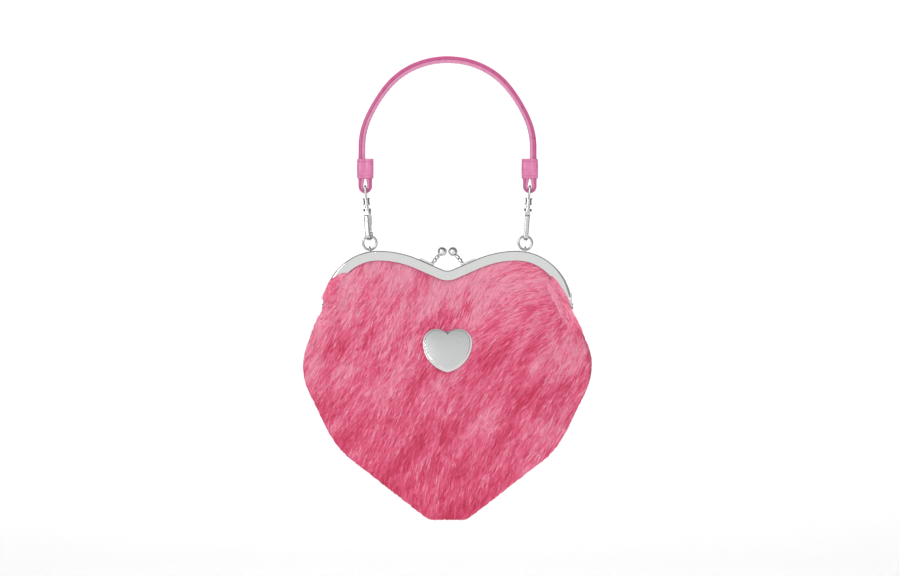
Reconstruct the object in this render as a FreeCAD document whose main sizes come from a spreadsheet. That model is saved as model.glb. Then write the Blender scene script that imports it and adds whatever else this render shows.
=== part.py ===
"""Heart shaped frame purse with a kiss-lock mouth and a short leather handle on two swivel hooks.

Frame of the part: millimetres, +X to the right and -Y towards the viewer, +Z up.
The origin is the middle of the handle's underside, where a hand or a hook holds it. The purse hangs below.
"""

import FreeCAD
import Part
import math
import os

from FreeCAD import Placement, Rotation, Vector

document = FreeCAD.newDocument("heart_purse")
sheet = document.addObject("Spreadsheet::Sheet", "Sizes")

# Driving sizes, in millimetres and degrees
SIZES = {
    # Handle: a padded strap that folds round each hook's eye and is held by a leather keeper
    "arch_radius": 57.0,
    "strap_thickness": 4.5,
    "strap_width": 8.4,
    "strap_round": 1.0,
    "strap_slit": 0.2,
    "leg_length": 28.5,
    "bar_hole_clearance": 0.6,
    "fold_hole_rise": 7.5,
    "keeper_drop": 9.4,
    "keeper_height": 13.6,
    "keeper_wall": 1.0,
    "keeper_round": 1.2,
    "strap_end_tuck": 1.0,
    "leather_clearance": 0.1,
    # Swivel hook: a wire eye on a barrel, whose stem turns in the claw's collar
    "hook_length": 34.5,
    "eye_wire": 1.8,
    "eye_inner_width": 9.4,
    "eye_corner_radius": 1.4,
    "eye_side_length": 5.0,
    "eye_foot_half_width": 1.2,
    "eye_drop": 8.0,
    "barrel_diameter": 4.4,
    "barrel_length": 4.8,
    "barrel_rim_diameter": 5.2,
    "barrel_rim_length": 0.9,
    "stem_diameter": 2.4,
    "swivel_gap": 2.6,
    "collar_diameter": 5.8,
    "collar_length": 1.8,
    "window_length": 2.6,
    "window_strut": 0.9,
    "stem_head_diameter": 3.4,
    "stem_head_length": 1.2,
    # Claw and its sprung gate
    "claw_thickness": 3.4,
    "claw_half_width": 3.8,
    "throat_half_width": 1.8,
    "claw_round": 0.95,
    "claw_tip_rise": 1.4,
    "body_height": 4.8,
    "body_half_width": 3.4,
    "slot_wall": 0.9,
    "slot_depth": 3.1,
    "gate_width": 1.8,
    "gate_bar": 1.5,
    "gate_head_radius": 1.2,
    "gate_pivot_inset": 1.3,
    "gate_tip_gap": 0.25,
    "gate_pin_diameter": 1.2,
    "thumb_reach": 1.6,
    "thumb_drop": 2.2,
    "thumb_height": 3.4,
    "spring_leaf": 0.25,
    "turning_clearance": 0.05,
    "side_clearance": 0.1,
    "seat_clearance": 0.3,
    # Rings, and the lugs that carry them on the back half of the frame
    "ring_diameter": 9.3,
    "ring_wire": 1.7,
    "ring_half_spacing": 53.8,
    "ring_stand": 1.25,
    "lug_wire": 1.3,
    "lug_clearance": 0.45,
    "left_claw_turn": 21.0,
    # Mouth frame: two pressed steel channels along the top of the heart
    "frame_sheet": 0.8,
    "channel_width": 5.4,
    "channel_height": 6.8,
    "closing_gap": 0.3,
    "frame_round": 1.3,
    "lobe_half_spacing": 47.7,
    "dip_depth": 13.7,
    "dip_radius": 8.0,
    "lobe_outer_radius": 37.0,
    "arm_lean": 18.5,
    "hinge_drop": 38.3,
    "arm_end_rise": 6.0,
    "nest_gap": 1.3,
    # Hinge tabs and rivets
    "tab_radius": 2.8,
    "tab_lap": 3.0,
    "tab_edge": 0.3,
    "rivet_diameter": 2.0,
    "rivet_head_diameter": 4.0,
    "rivet_head_length": 0.7,
    # Kiss-lock: one knob on each half
    "ball_diameter": 6.7,
    "ball_half_spacing": 3.7,
    "ball_rise": 13.2,
    "foot_length": 11.0,
    "foot_width": 3.4,
    "foot_thickness": 1.2,
    "foot_start": 10.0,
    "knob_stem_diameter": 2.2,
    "knob_bead_diameter": 3.2,
    # Heart outline of the bag below the hinges
    "hinge_overhang": 0.5,
    "shoulder_reach": 15.6,
    "shoulder_drop": 43.3,
    "shoulder_radius": 42.0,
    "flank_half_width": 76.5,
    "flank_drop": 97.8,
    "flank_radius": 60.0,
    "tip_half_width": 13.0,
    "tip_drop": 147.0,
    "tip_radius": 9.0,
    # Depth of the bag and its layers
    "rim_half_depth": 4.4,
    "tip_half_depth": 19.0,
    "crown": 15.0,
    "hide_thickness": 2.4,
    "lining_thickness": 0.6,
    "lining_gap": 3.2,
    "seam_inset": 1.5,
    "seam_gap": 0.2,
    "panel_tuck": 3.8,
    "lining_tuck": 5.2,
    "side_bow": 10.0,
    "cord_diameter": 2.0,
    "flex_line_drop": 6.4,
    "hide_flex_gap": 6.4,
    "lining_flex_gap": 12.6,
    # Plain ornament on the front and the plate that holds its prongs
    "plaque_half_width": 17.0,
    "plaque_height": 31.0,
    "plaque_lobe_radius": 9.6,
    "plaque_thickness": 1.2,
    "plaque_rim": 1.6,
    "plaque_step": 0.6,
    "plaque_drop": 31.0,
    "plaque_stand": 1.5,
    "prong_diameter": 1.4,
    "prong_half_spacing": 6.0,
    "backing_length": 16.0,
    "backing_width": 6.0,
    "backing_thickness": 0.6,
    "backing_seat": 0.5,
    "cut_overrun": 20.0,
}
for row, (alias, value) in enumerate(SIZES.items(), start=1):
    sheet.set(f"A{row}", alias)
    sheet.set(f"B{row}", str(value))
    sheet.setAlias(f"B{row}", alias)
document.recompute()


def size(alias):
    """The value of one cell of the sheet."""
    return float(sheet.get(alias))


# Shares of the body's own lengths
LOBE_EASE_SHARE = 0.868
END_SHARE = 0.93
TOP_END_SHARE = 0.95
BOW_START_SHARE = 0.45
BOW_END_SHARE = 1.03
HELD_STEP_SHARE = 0.005
SECTION_SHARES = (0.0, 0.03, 0.06, 0.09, 0.13, 0.19, 0.26, 0.33, 0.4, 0.46, 0.52, 0.58, 0.64, 0.7, 0.73, 0.76, 0.8,
                  0.85, 0.89, END_SHARE)
WHOLE_SHARES = (0.0, 0.012, 0.024, 0.04, 0.06, 0.09, 0.13, 0.19, 0.27, 0.37, 0.49, 0.62, 0.76, 0.89, 1.0)
UPPER_SHARES = (0.0, 0.06, 0.12, 0.19, 0.28, 0.4, 0.54, 0.7, 0.85, 1.0)
LOWER_SHARES = (0.0, 0.12, 0.26, 0.42, 0.58, 0.74, 0.88, 1.0)
EASE_SHARE = 0.05
CROWN_TAPER = 1.2
RIM_TAPER_POWER = 4
KNOB_BEAD_SHARES = (0.25, 0.5)
SIDES = {"left": -1, "right": 1}


# Places worked out from the sizes
hang_y = 0.0
closing_y = -(size("channel_width") + size("closing_gap")) / 2
ring_radius = size("ring_diameter") / 2
arch_z = -size("arch_radius")
eye_x = size("arch_radius") - size("strap_slit") / 2
eye_z = arch_z - size("leg_length")
hook_reach = size("hook_length") + ring_radius
ring_x = size("ring_half_spacing")
ring_z = eye_z - math.sqrt(hook_reach**2 - (eye_x - ring_x) ** 2)
hook_lean = math.degrees(math.asin((eye_x - ring_x) / hook_reach))
lug_z = ring_z - ring_radius
back_lobe_radius = size("lobe_outer_radius") + size("nest_gap")
lobe_fall = back_lobe_radius - math.sqrt(back_lobe_radius**2 - (ring_x - size("lobe_half_spacing")) ** 2)
peak_z = lug_z - size("ring_stand") + lobe_fall
dip_z = peak_z - size("dip_depth")
hinge_z = peak_z - size("hinge_drop")
arm_end_z = hinge_z + size("arm_end_rise")
arm_slope = math.tan(math.radians(size("arm_lean")))


def plane_point(x, z, y=0.0):
    return Vector(x, y, z)


def line(start, end):
    return Part.LineSegment(start, end)


def arc(centre, radius, start_degrees, end_degrees, y=0.0):
    """An arc in the XZ plane, through three points, from one angle to another."""
    points = []
    for degrees in (start_degrees, (start_degrees + end_degrees) / 2, end_degrees):
        angle = math.radians(degrees)
        points.append(Vector(centre[0] + radius * math.cos(angle), y, centre[1] + radius * math.sin(angle)))
    return Part.Arc(*points)


def rounded(points, radii):
    """Straight runs through the points, with each inner corner rounded to its radius."""
    pieces = []
    start = points[0]
    for before, corner, after, radius in zip(points, points[1:], points[2:], radii):
        back = (before - corner).normalize()
        ahead = (after - corner).normalize()
        half_angle = back.getAngle(ahead) / 2
        reach = radius / math.tan(half_angle)
        middle = (back + ahead).normalize()
        centre = corner + middle * (radius / math.sin(half_angle))
        pieces.append(line(start, corner + back * reach))
        pieces.append(Part.Arc(corner + back * reach, centre - middle * radius, corner + ahead * reach))
        start = corner + ahead * reach
    pieces.append(line(start, points[-1]))
    return pieces


def lobe_inner_radius():
    """Radius of a lobe towards the dip: as large as the dip's depth and the lobes' spacing allow, eased a little."""
    depth = size("dip_depth")
    largest = (depth**2 + size("lobe_half_spacing") ** 2) / (2 * depth)
    return LOBE_EASE_SHARE * largest - size("dip_radius")


def slope_of_dip():
    """Angle of the straight stretch between the dip and a lobe."""
    radii = size("dip_radius") + lobe_inner_radius()
    rise = radii - size("dip_depth")
    run = size("lobe_half_spacing")
    return math.degrees(math.atan2(run, rise) - math.acos(radii / math.hypot(rise, run)))


def half_frame_line(outer_radius, inset=0.0, y=0.0):
    """Right half of the frame's line, from the dip to the arm's end, moved inwards by the inset."""
    slope = slope_of_dip()
    lean = size("arm_lean")
    lobe_x = size("lobe_half_spacing")
    dip = arc((0.0, dip_z + size("dip_radius")), size("dip_radius") + inset, -90, -90 + slope, y)
    inner_radius = lobe_inner_radius()
    inner = arc((lobe_x, peak_z - inner_radius), inner_radius - inset, 90 + slope, 90, y)
    outer = arc((lobe_x, peak_z - outer_radius), outer_radius - inset, 90, lean, y)
    arm_top = outer.toShape().Vertexes[-1].Point
    fall = arm_top.z - arm_end_z
    arm_end = arm_top + Vector(fall * arm_slope, 0, -fall)
    dip_end = dip.toShape().Vertexes[-1].Point
    inner_start = inner.toShape().Vertexes[0].Point
    return [dip, line(dip_end, inner_start), inner, outer, line(arm_top, arm_end)]


def mirrored(pieces):
    """The same pieces on the other side of X = 0, in the opposite order, for one unbroken line."""
    flipped = []
    for piece in reversed(pieces):
        edge = piece.toShape() if hasattr(piece, "toShape") else piece
        ends = [edge.valueAt(edge.LastParameter), edge.valueAt(edge.FirstParameter)]
        middle = edge.valueAt((edge.FirstParameter + edge.LastParameter) / 2)
        ends = [Vector(-p.x, p.y, p.z) for p in ends]
        middle = Vector(-middle.x, middle.y, middle.z)
        straight = edge.Curve.TypeId == "Part::GeomLine"
        flipped.append(line(*ends) if straight else Part.Arc(ends[0], middle, ends[1]))
    return flipped


def whole(half):
    """A line that is the same on both sides, from the left end to the right end."""
    return mirrored(half) + half


class Path:
    """A half line followed by its length, with the direction that points into the heart."""

    def __init__(self, pieces, turn):
        self.edges = [piece.toShape() for piece in pieces]
        self.length = sum(edge.Length for edge in self.edges)
        self.turn = turn

    def at(self, share):
        left = share * self.length
        for edge in self.edges:
            if left <= edge.Length or edge is self.edges[-1]:
                parameter = edge.getParameterByLength(min(left, edge.Length))
                tangent = edge.tangentAt(parameter)
                inward = Vector(-tangent.z, 0, tangent.x) * self.turn
                return edge.valueAt(parameter), inward
            left -= edge.Length


def body_outline():
    """Right half of the bag's outline, from the middle of its tip to the hinge, where it stands off the frame's arm."""
    names = ("tip", "flank", "shoulder")
    arm_x = frame_path.at(1.0)[0].x + size("arm_end_rise") * arm_slope
    hinge = plane_point(arm_x + size("hinge_overhang"), hinge_z)
    half_widths = (size("tip_half_width"), size("flank_half_width"), hinge.x + size("shoulder_reach"))
    corners = [plane_point(w, hinge_z - size(f"{n}_drop")) for n, w in zip(names, half_widths)]
    tip_middle = plane_point(0.0, hinge_z - size("tip_drop"))
    return rounded([tip_middle, *corners, hinge], [size(f"{n}_radius") for n in names])


frame_path = Path(half_frame_line(size("lobe_outer_radius")), -1)
frame_wire = Part.Wire(frame_path.edges)
outline_path = Path(body_outline(), 1)


def on_side(point, share):
    return Vector(math.copysign(1, share) * point.x, point.y, point.z) if share else Vector(0, point.y, point.z)


def rim_half_depth(share):
    """Half the gusset's width at a share of the way from the tip to the hinge."""
    full = size("tip_half_depth") - size("rim_half_depth")
    return size("rim_half_depth") + full * (1 - abs(share) ** RIM_TAPER_POWER)


def meridian(share, tuck, inset):
    """Ends of the line on a panel from inside the frame's channel to the gusset seam."""
    top, top_inward = frame_path.at(abs(share) / END_SHARE * TOP_END_SHARE)
    foot, foot_inward = outline_path.at(abs(share))
    return on_side(top + top_inward * tuck, share), on_side(foot + foot_inward * inset, share)


def on_meridian(share, step, tuck, inset):
    """Point at a share of the way down a meridian, which bows inwards beside the arms so that none cross."""
    top, foot = meridian(abs(share), tuck, inset)
    way = foot - top
    inward = Vector(way.z, 0, -way.x).normalize()
    near_end = max(0.0, (abs(share) - BOW_START_SHARE) / (END_SHARE - BOW_START_SHARE))
    bow = size("side_bow") * 4 * near_end * (BOW_END_SHARE - near_end)
    return on_side(top + way * step + inward * (bow * 4 * step * (1 - step)), share)


def held_share(share, tuck, inset):
    """Share of a meridian that lies flat: inside the channel, until it is clear of the flange."""
    clear = size("seat_clearance")
    step = HELD_STEP_SHARE
    while True:
        point = on_meridian(abs(share), step, tuck, inset)
        below = point.z < arm_end_z - clear
        if below or frame_wire.distToShape(Part.Vertex(point))[0] > size("channel_height") + clear:
            return step + HELD_STEP_SHARE
        step += HELD_STEP_SHARE


def parting_share(share, level, tuck, inset):
    """Share of a meridian at which it comes down to a level."""
    high, low = 0.0, 1.0
    while low - high > 1e-6:
        middle = (high + low) / 2
        if on_meridian(share, middle, tuck, inset).z > level:
            high = middle
        else:
            low = middle
    return low


centre_top, centre_foot = meridian(0.0, size("panel_tuck"), size("seam_inset"))
centre_length = (centre_foot - centre_top).Length


def half_depth(share, along):
    """Half the bag's depth on a meridian, at a distance along it as a share of its free length."""
    top, foot = meridian(share, size("panel_tuck"), size("seam_inset"))
    crown = size("crown") * ((foot - top).Length / centre_length) ** CROWN_TAPER
    eased = (1 + EASE_SHARE) * along**2 / (along + EASE_SHARE)
    rise = (rim_half_depth(share) - size("rim_half_depth")) * eased
    return size("rim_half_depth") + rise + crown * math.sin(math.pi * eased)


def panel_steps(reach, parting):
    """Steps down a meridian for a whole panel or for its part above or below the flex line."""
    if reach == "whole":
        return WHOLE_SHARES
    if reach == "upper":
        return [parting * along for along in UPPER_SHARES]
    return [parting + (1 - parting) * along for along in LOWER_SHARES]


def panel_line(share, side, reach, depth_inset, tuck, inset, loose, flex_gap):
    """Points down one meridian: flat inside the channel, then crowned to the seam."""
    held = held_share(share, tuck, inset)
    parting_z = hinge_z - size("flex_line_drop") + flex_gap / 2 * (-1 if reach == "lower" else 1)
    points = []
    for step in panel_steps(reach, parting_share(share, parting_z, tuck, inset)):
        along = max(0.0, (step - held) / (1 - held))
        point = on_meridian(share, step, tuck, inset)
        depth = half_depth(share, along) - depth_inset - loose * math.sin(math.pi * along)
        points.append(Vector(point.x, closing_y + side * depth, point.z))
    return points


def panel_solid(side, reach, thickness, *layer):
    """A crowned panel between the frame and the gusset seam, of even thickness from front to back."""
    shares = [*(-share for share in reversed(SECTION_SHARES[1:])), *SECTION_SHARES]
    points = [panel_line(share, side, reach, *layer) for share in shares]
    surface = Part.BSplineSurface()
    surface.interpolate(points)
    return surface.toShape().extrude(Vector(0, -side * thickness, 0))


def gusset_solid(side, depth_inset, inset, bulge, thickness):
    """Half of the strip between the two panels, from the middle of the tip to below the hinge."""
    sections = []
    for share in SECTION_SHARES:
        place, inward = outline_path.at(share)
        half_width = rim_half_depth(share) - depth_inset
        lines = []
        for depth in (inset, inset + thickness):
            ends = [place + inward * depth + Vector(0, closing_y + s * half_width, 0) for s in (-1, 1)]
            middle = place + inward * (depth - bulge) + Vector(0, closing_y, 0)
            points = [Vector(side * p.x, p.y, p.z) for p in (ends[0], middle, ends[1])]
            lines.append(points)
        outer, inner = lines
        sections.append(Part.Wire([
            Part.Arc(*outer).toShape(),
            line(outer[2], inner[2]).toShape(),
            Part.Arc(*reversed(inner)).toShape(),
            line(inner[0], outer[0]).toShape(),
        ]))
    return Part.makeLoft(sections, True, False)


# Document helpers
finished = []


def finish(thing, label):
    """Marks an object as a sub-part under its own label."""
    thing.Label = label
    finished.append(thing)
    return thing


def bind(thing, **expressions):
    """Binds properties to expressions on the sheet's cells."""
    for name, expression in expressions.items():
        thing.setExpression(name, expression)
    return thing


def feature(shape, label):
    thing = document.addObject("Part::Feature", label)
    thing.Shape = shape
    return finish(thing, label)


def primitive(kind, name, placement=None, **expressions):
    thing = bind(document.addObject(f"Part::{kind}", name), **expressions)
    thing.Placement = placement or Placement()
    return thing


def boolean(kind, label, base, tool):
    thing = document.addObject(f"Part::{kind}", label)
    thing.Base = base
    thing.Tool = tool
    return thing


def fused(label, pieces):
    thing = document.addObject("Part::MultiFuse", label)
    thing.Shapes = pieces
    return thing


def origin_plane(body, role):
    return next(f for f in body.Origin.OriginFeatures if f.Role == role)


def sketch_on(body, role, name, pieces, offset=0.0):
    """A sketch on one of a body's own origin planes, moved along the plane's normal."""
    sketch = body.newObject("Sketcher::SketchObject", name)
    sketch.AttachmentSupport = [(origin_plane(body, role), "")]
    sketch.MapMode = "FlatFace"
    sketch.AttachmentOffset = Placement(Vector(0, 0, offset), Rotation())
    sketch.addGeometry(pieces, False)
    return sketch


def flat(piece):
    """A piece of the XZ plane in a sketch's own coordinates."""
    edge = piece.toShape()
    first = edge.valueAt(edge.FirstParameter)
    last = edge.valueAt(edge.LastParameter)
    if edge.Curve.TypeId == "Part::GeomLine":
        return line(Vector(first.x, first.z, 0), Vector(last.x, last.z, 0))
    middle = edge.valueAt((edge.FirstParameter + edge.LastParameter) / 2)
    return Part.Arc(*(Vector(p.x, p.z, 0) for p in (first, middle, last)))


def outline_of(points):
    """Straight edges round a closed outline of sketch points."""
    ring = [Vector(x, y, 0) for x, y in points]
    return [line(a, b) for a, b in zip(ring, ring[1:] + ring[:1])]


def new_body(name, placement=None):
    body = document.addObject("PartDesign::Body", name)
    body.Placement = placement or Placement()
    return body


def pad(body, sketch, length, midplane=False):
    thing = body.newObject("PartDesign::Pad", sketch.Name + "_pad")
    thing.Profile = sketch
    thing.Midplane = midplane
    return bind(thing, Length=length)


def pocket(body, sketch, length):
    """A cut by the same depth on both sides of its sketch."""
    thing = body.newObject("PartDesign::Pocket", sketch.Name + "_cut")
    thing.Profile = sketch
    thing.Midplane = True
    return bind(thing, Length=length)


def fillet(body, base, radius, chosen):
    """Rounds the edges of a feature that a test picks."""
    document.recompute()
    names = [f"Edge{i}" for i, edge in enumerate(base.Shape.Edges, start=1) if chosen(edge)]
    thing = body.newObject("PartDesign::Fillet", base.Name + "_round")
    thing.Base = (base, names)
    return bind(thing, Radius=radius)


def on_plane(value, wanted, reach=1e-4):
    return abs(value - wanted) < reach


def flat_at_y(edge, y):
    return on_plane(edge.BoundBox.YMin, y) and on_plane(edge.BoundBox.YMax, y)


# Handle strap: one strap over the arch, down both legs, round each eye's bar and back up to its keeper
def half_strap_outline():
    thickness = size("strap_thickness")
    inner = size("arch_radius")
    slit = size("strap_slit")
    hole = size("eye_wire") / 2 + size("bar_hole_clearance")
    end_z = arch_z - size("keeper_drop") - size("strap_end_tuck")
    hole_top = eye_z + size("fold_hole_rise")
    left = inner - slit - thickness
    right = inner + thickness
    outer = [
        arc((0.0, arch_z), right, 90, 0),
        line(plane_point(right, arch_z), plane_point(right, eye_z)),
        arc(((left + right) / 2, eye_z), (right - left) / 2, 0, -180),
        line(plane_point(left, eye_z), plane_point(left, end_z)),
        line(plane_point(left, end_z), plane_point(inner - slit, end_z)),
        line(plane_point(inner - slit, end_z), plane_point(inner - slit, hole_top)),
        line(plane_point(inner - slit, hole_top), plane_point(eye_x - hole, eye_z)),
        arc((eye_x, eye_z), hole, 180, 360),
        line(plane_point(eye_x + hole, eye_z), plane_point(inner, hole_top)),
        line(plane_point(inner, hole_top), plane_point(inner, arch_z)),
        arc((0.0, arch_z), inner, 0, 90),
    ]
    return outer


def make_strap():
    body = new_body("handle_strap")
    half = half_strap_outline()
    pieces = [flat(p) for p in half + mirrored(half)]
    strap = pad(body, sketch_on(body, "XZ_Plane", "strap_outline", pieces), "Sizes.strap_width", True)
    half_width = size("strap_width") / 2
    inner = size("arch_radius")

    def outside(edge):
        if not (flat_at_y(edge, half_width) or flat_at_y(edge, -half_width)):
            return False
        middle = edge.valueAt((edge.FirstParameter + edge.LastParameter) / 2)
        slit_zone = abs(abs(middle.x) - eye_x) < size("strap_thickness") / 2
        return middle.z > arch_z or not slit_zone or middle.z < eye_z - size("strap_thickness") / 2

    body.Tip = fillet(body, strap, "Sizes.strap_round", outside)
    finish(body, "handle_strap")


def make_keeper(side_name, side):
    """A leather band round both layers of the strap."""
    clear = size("leather_clearance")
    half_x = size("strap_thickness") + size("strap_slit") / 2 + clear
    half_y = size("strap_width") / 2 + clear
    wall = size("keeper_wall")
    top = arch_z - size("keeper_drop")
    body = new_body(f"{side_name}_keeper", Placement(Vector(side * eye_x, 0, top), Rotation()))
    pieces = []
    for grow in (wall, 0.0):
        x, y = half_x + grow, half_y + grow
        pieces += outline_of([(-x, -y), (x, -y), (x, y), (-x, y)])
    sketch = sketch_on(body, "XY_Plane", f"{side_name}_keeper_wall", pieces)
    band = pad(body, sketch, "Sizes.keeper_height")
    band.Reversed = True

    def outer_corner(edge):
        point = edge.CenterOfMass
        return on_plane(abs(point.x), half_x + wall) and on_plane(abs(point.y), half_y + wall)

    body.Tip = fillet(body, band, "Sizes.keeper_round", outer_corner)
    finish(body, f"{side_name}_keeper")


# Hooks are drawn hanging from their own origin, the middle of the eye's bar, with -Z towards the ring
barrel_top = -size("eye_drop")
barrel_foot = barrel_top - size("barrel_length")
collar_top = barrel_foot - size("swivel_gap")
window_top = collar_top - size("collar_length")
window_foot = window_top - size("window_length")
bend_z = -size("hook_length") - size("ring_wire") / 2 - size("seat_clearance") + size("throat_half_width")
tip_top = bend_z + size("claw_tip_rise") + (size("claw_half_width") - size("throat_half_width")) / 2
slot_top = window_foot - size("slot_wall")
body_foot = slot_top - size("body_height")
pivot_x = size("body_half_width") - size("gate_pivot_inset")
pivot_z = slot_top - size("gate_head_radius") - size("seat_clearance")


def hook_placement(side, turn=0.0):
    lean = Rotation(Vector(0, 1, 0), side * hook_lean)
    return Placement(Vector(side * eye_x, hang_y, eye_z), lean.multiply(Rotation(Vector(0, 0, 1), turn)))


def claw_turn(side_name):
    """Turn of a claw about its stem, from lying in the plane of the ring."""
    return 90.0 - (size("left_claw_turn") if side_name == "left" else 0.0)


def make_eye(side_name, side):
    """Bent wire bow, two-rimmed barrel, and the stem with its peened head, as one piece."""
    place = hook_placement(side)
    half_bar = (size("eye_inner_width") + size("eye_wire")) / 2
    foot_z = barrel_top - size("barrel_rim_length")
    bend_z = -size("eye_side_length")
    corners = [
        Vector(0, -size("eye_foot_half_width"), foot_z),
        Vector(0, -half_bar, bend_z),
        Vector(0, -half_bar, 0),
        Vector(0, half_bar, 0),
        Vector(0, half_bar, bend_z),
        Vector(0, size("eye_foot_half_width"), foot_z),
    ]
    path = Part.Wire([p.toShape() for p in rounded(corners, [size("eye_corner_radius")] * 4)])
    start = path.Edges[0]
    profile = Part.Wire(Part.Circle(corners[0], start.tangentAt(start.FirstParameter), size("eye_wire") / 2).toShape())
    bow = document.addObject("Part::Feature", f"{side_name}_eye_bow")
    bow.Shape = path.makePipeShell([profile], True, True)
    bow.Placement = place

    def turned(name, top, radius, length):
        base = place.multiply(Placement(Vector(0, 0, top), Rotation(Vector(1, 0, 0), 180)))
        return primitive("Cylinder", f"{side_name}_{name}", base, Radius=radius, Height=length)

    rim_foot = barrel_foot + size("barrel_rim_length")
    head_top = window_top - size("seat_clearance")
    pieces = [
        bow,
        turned("barrel", barrel_top, "Sizes.barrel_diameter / 2", "Sizes.barrel_length"),
        turned("upper_rim", barrel_top, "Sizes.barrel_rim_diameter / 2", "Sizes.barrel_rim_length"),
        turned("lower_rim", rim_foot, "Sizes.barrel_rim_diameter / 2", "Sizes.barrel_rim_length"),
        turned("stem", barrel_foot, "Sizes.stem_diameter / 2",
               "Sizes.swivel_gap + Sizes.collar_length + Sizes.seat_clearance"),
        turned("stem_head", head_top, "Sizes.stem_head_diameter / 2", "Sizes.stem_head_length"),
    ]
    finish(fused(f"{side_name}_hook_eye", pieces), f"{side_name}_hook_eye")


def make_claw(side_name, side):
    """Cast claw: collar for the stem, open window for its head, slotted body and round hook."""
    body = new_body(f"{side_name}_hook_claw", hook_placement(side, claw_turn(side_name)))
    outer = size("claw_half_width")
    throat = size("throat_half_width")
    half_body = size("body_half_width")
    half_window = size("stem_head_diameter") / 2 + size("side_clearance")
    half_strut = half_window + size("window_strut")
    tip_radius = (outer - throat) / 2
    tip_z = tip_top - tip_radius
    shoulder_z = slot_top
    p = plane_point
    profile = [
        line(p(-half_strut, window_top), p(-half_strut, window_foot)),
        line(p(-half_strut, window_foot), p(-outer, shoulder_z)),
        line(p(-outer, shoulder_z), p(-outer, bend_z)),
        arc((0.0, bend_z), outer, 180, 360),
        line(p(outer, bend_z), p(outer, tip_z)),
        arc(((outer + throat) / 2, tip_z), tip_radius, 0, 180),
        line(p(throat, tip_z), p(throat, bend_z)),
        arc((0.0, bend_z), throat, 360, 180),
        line(p(-throat, bend_z), p(-throat, body_foot)),
        line(p(-throat, body_foot), p(half_body, body_foot)),
        line(p(half_body, body_foot), p(half_body, shoulder_z)),
        line(p(half_body, shoulder_z), p(half_strut, window_foot)),
        line(p(half_strut, window_foot), p(half_strut, window_top)),
        line(p(half_strut, window_top), p(half_window, window_top)),
        line(p(half_window, window_top), p(half_window, window_foot)),
        line(p(half_window, window_foot), p(-half_window, window_foot)),
        line(p(-half_window, window_foot), p(-half_window, window_top)),
        line(p(-half_window, window_top), p(-half_strut, window_top)),
    ]
    pin_hole = Part.Circle(Vector(pivot_x, pivot_z, 0), Vector(0, 0, 1), size("gate_pin_diameter") / 2)
    sketch = sketch_on(body, "XZ_Plane", f"{side_name}_claw_profile", [flat(e) for e in profile] + [pin_hole])
    blank = pad(body, sketch, "Sizes.claw_thickness", True)
    half_thick = size("claw_thickness") / 2

    def hook_edge(edge):
        if not (flat_at_y(edge, half_thick) or flat_at_y(edge, -half_thick)):
            return False
        point = edge.CenterOfMass
        on_spine = point.x < -throat + 1e-4 and point.z < shoulder_z
        return on_spine or point.z < tip_top - 1e-4 and point.z > bend_z - 2 * outer and point.z < body_foot - 1e-4

    rounded_hook = fillet(body, blank, "Sizes.claw_round", hook_edge)
    slot_x = half_body - size("slot_depth")
    far_x = half_body + size("cut_overrun")
    low_z = body_foot - size("claw_tip_rise")
    slot = outline_of([(slot_x, slot_top), (far_x, slot_top), (far_x, low_z), (slot_x, low_z)])
    body.Tip = rounded_hook
    slot_sketch = sketch_on(body, "XZ_Plane", f"{side_name}_gate_slot", slot)
    pocket(body, slot_sketch, "Sizes.gate_width + 2 * Sizes.side_clearance")
    bore = size("stem_diameter") / 2 + size("turning_clearance")
    circles = [Part.Circle(Vector(0, 0, 0), Vector(0, 0, 1), r) for r in (size("collar_diameter") / 2, bore)]
    collar = pad(body, sketch_on(body, "XY_Plane", f"{side_name}_collar", circles, window_top), "Sizes.collar_length")
    body.Tip = collar
    finish(body, f"{side_name}_hook_claw")


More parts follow.
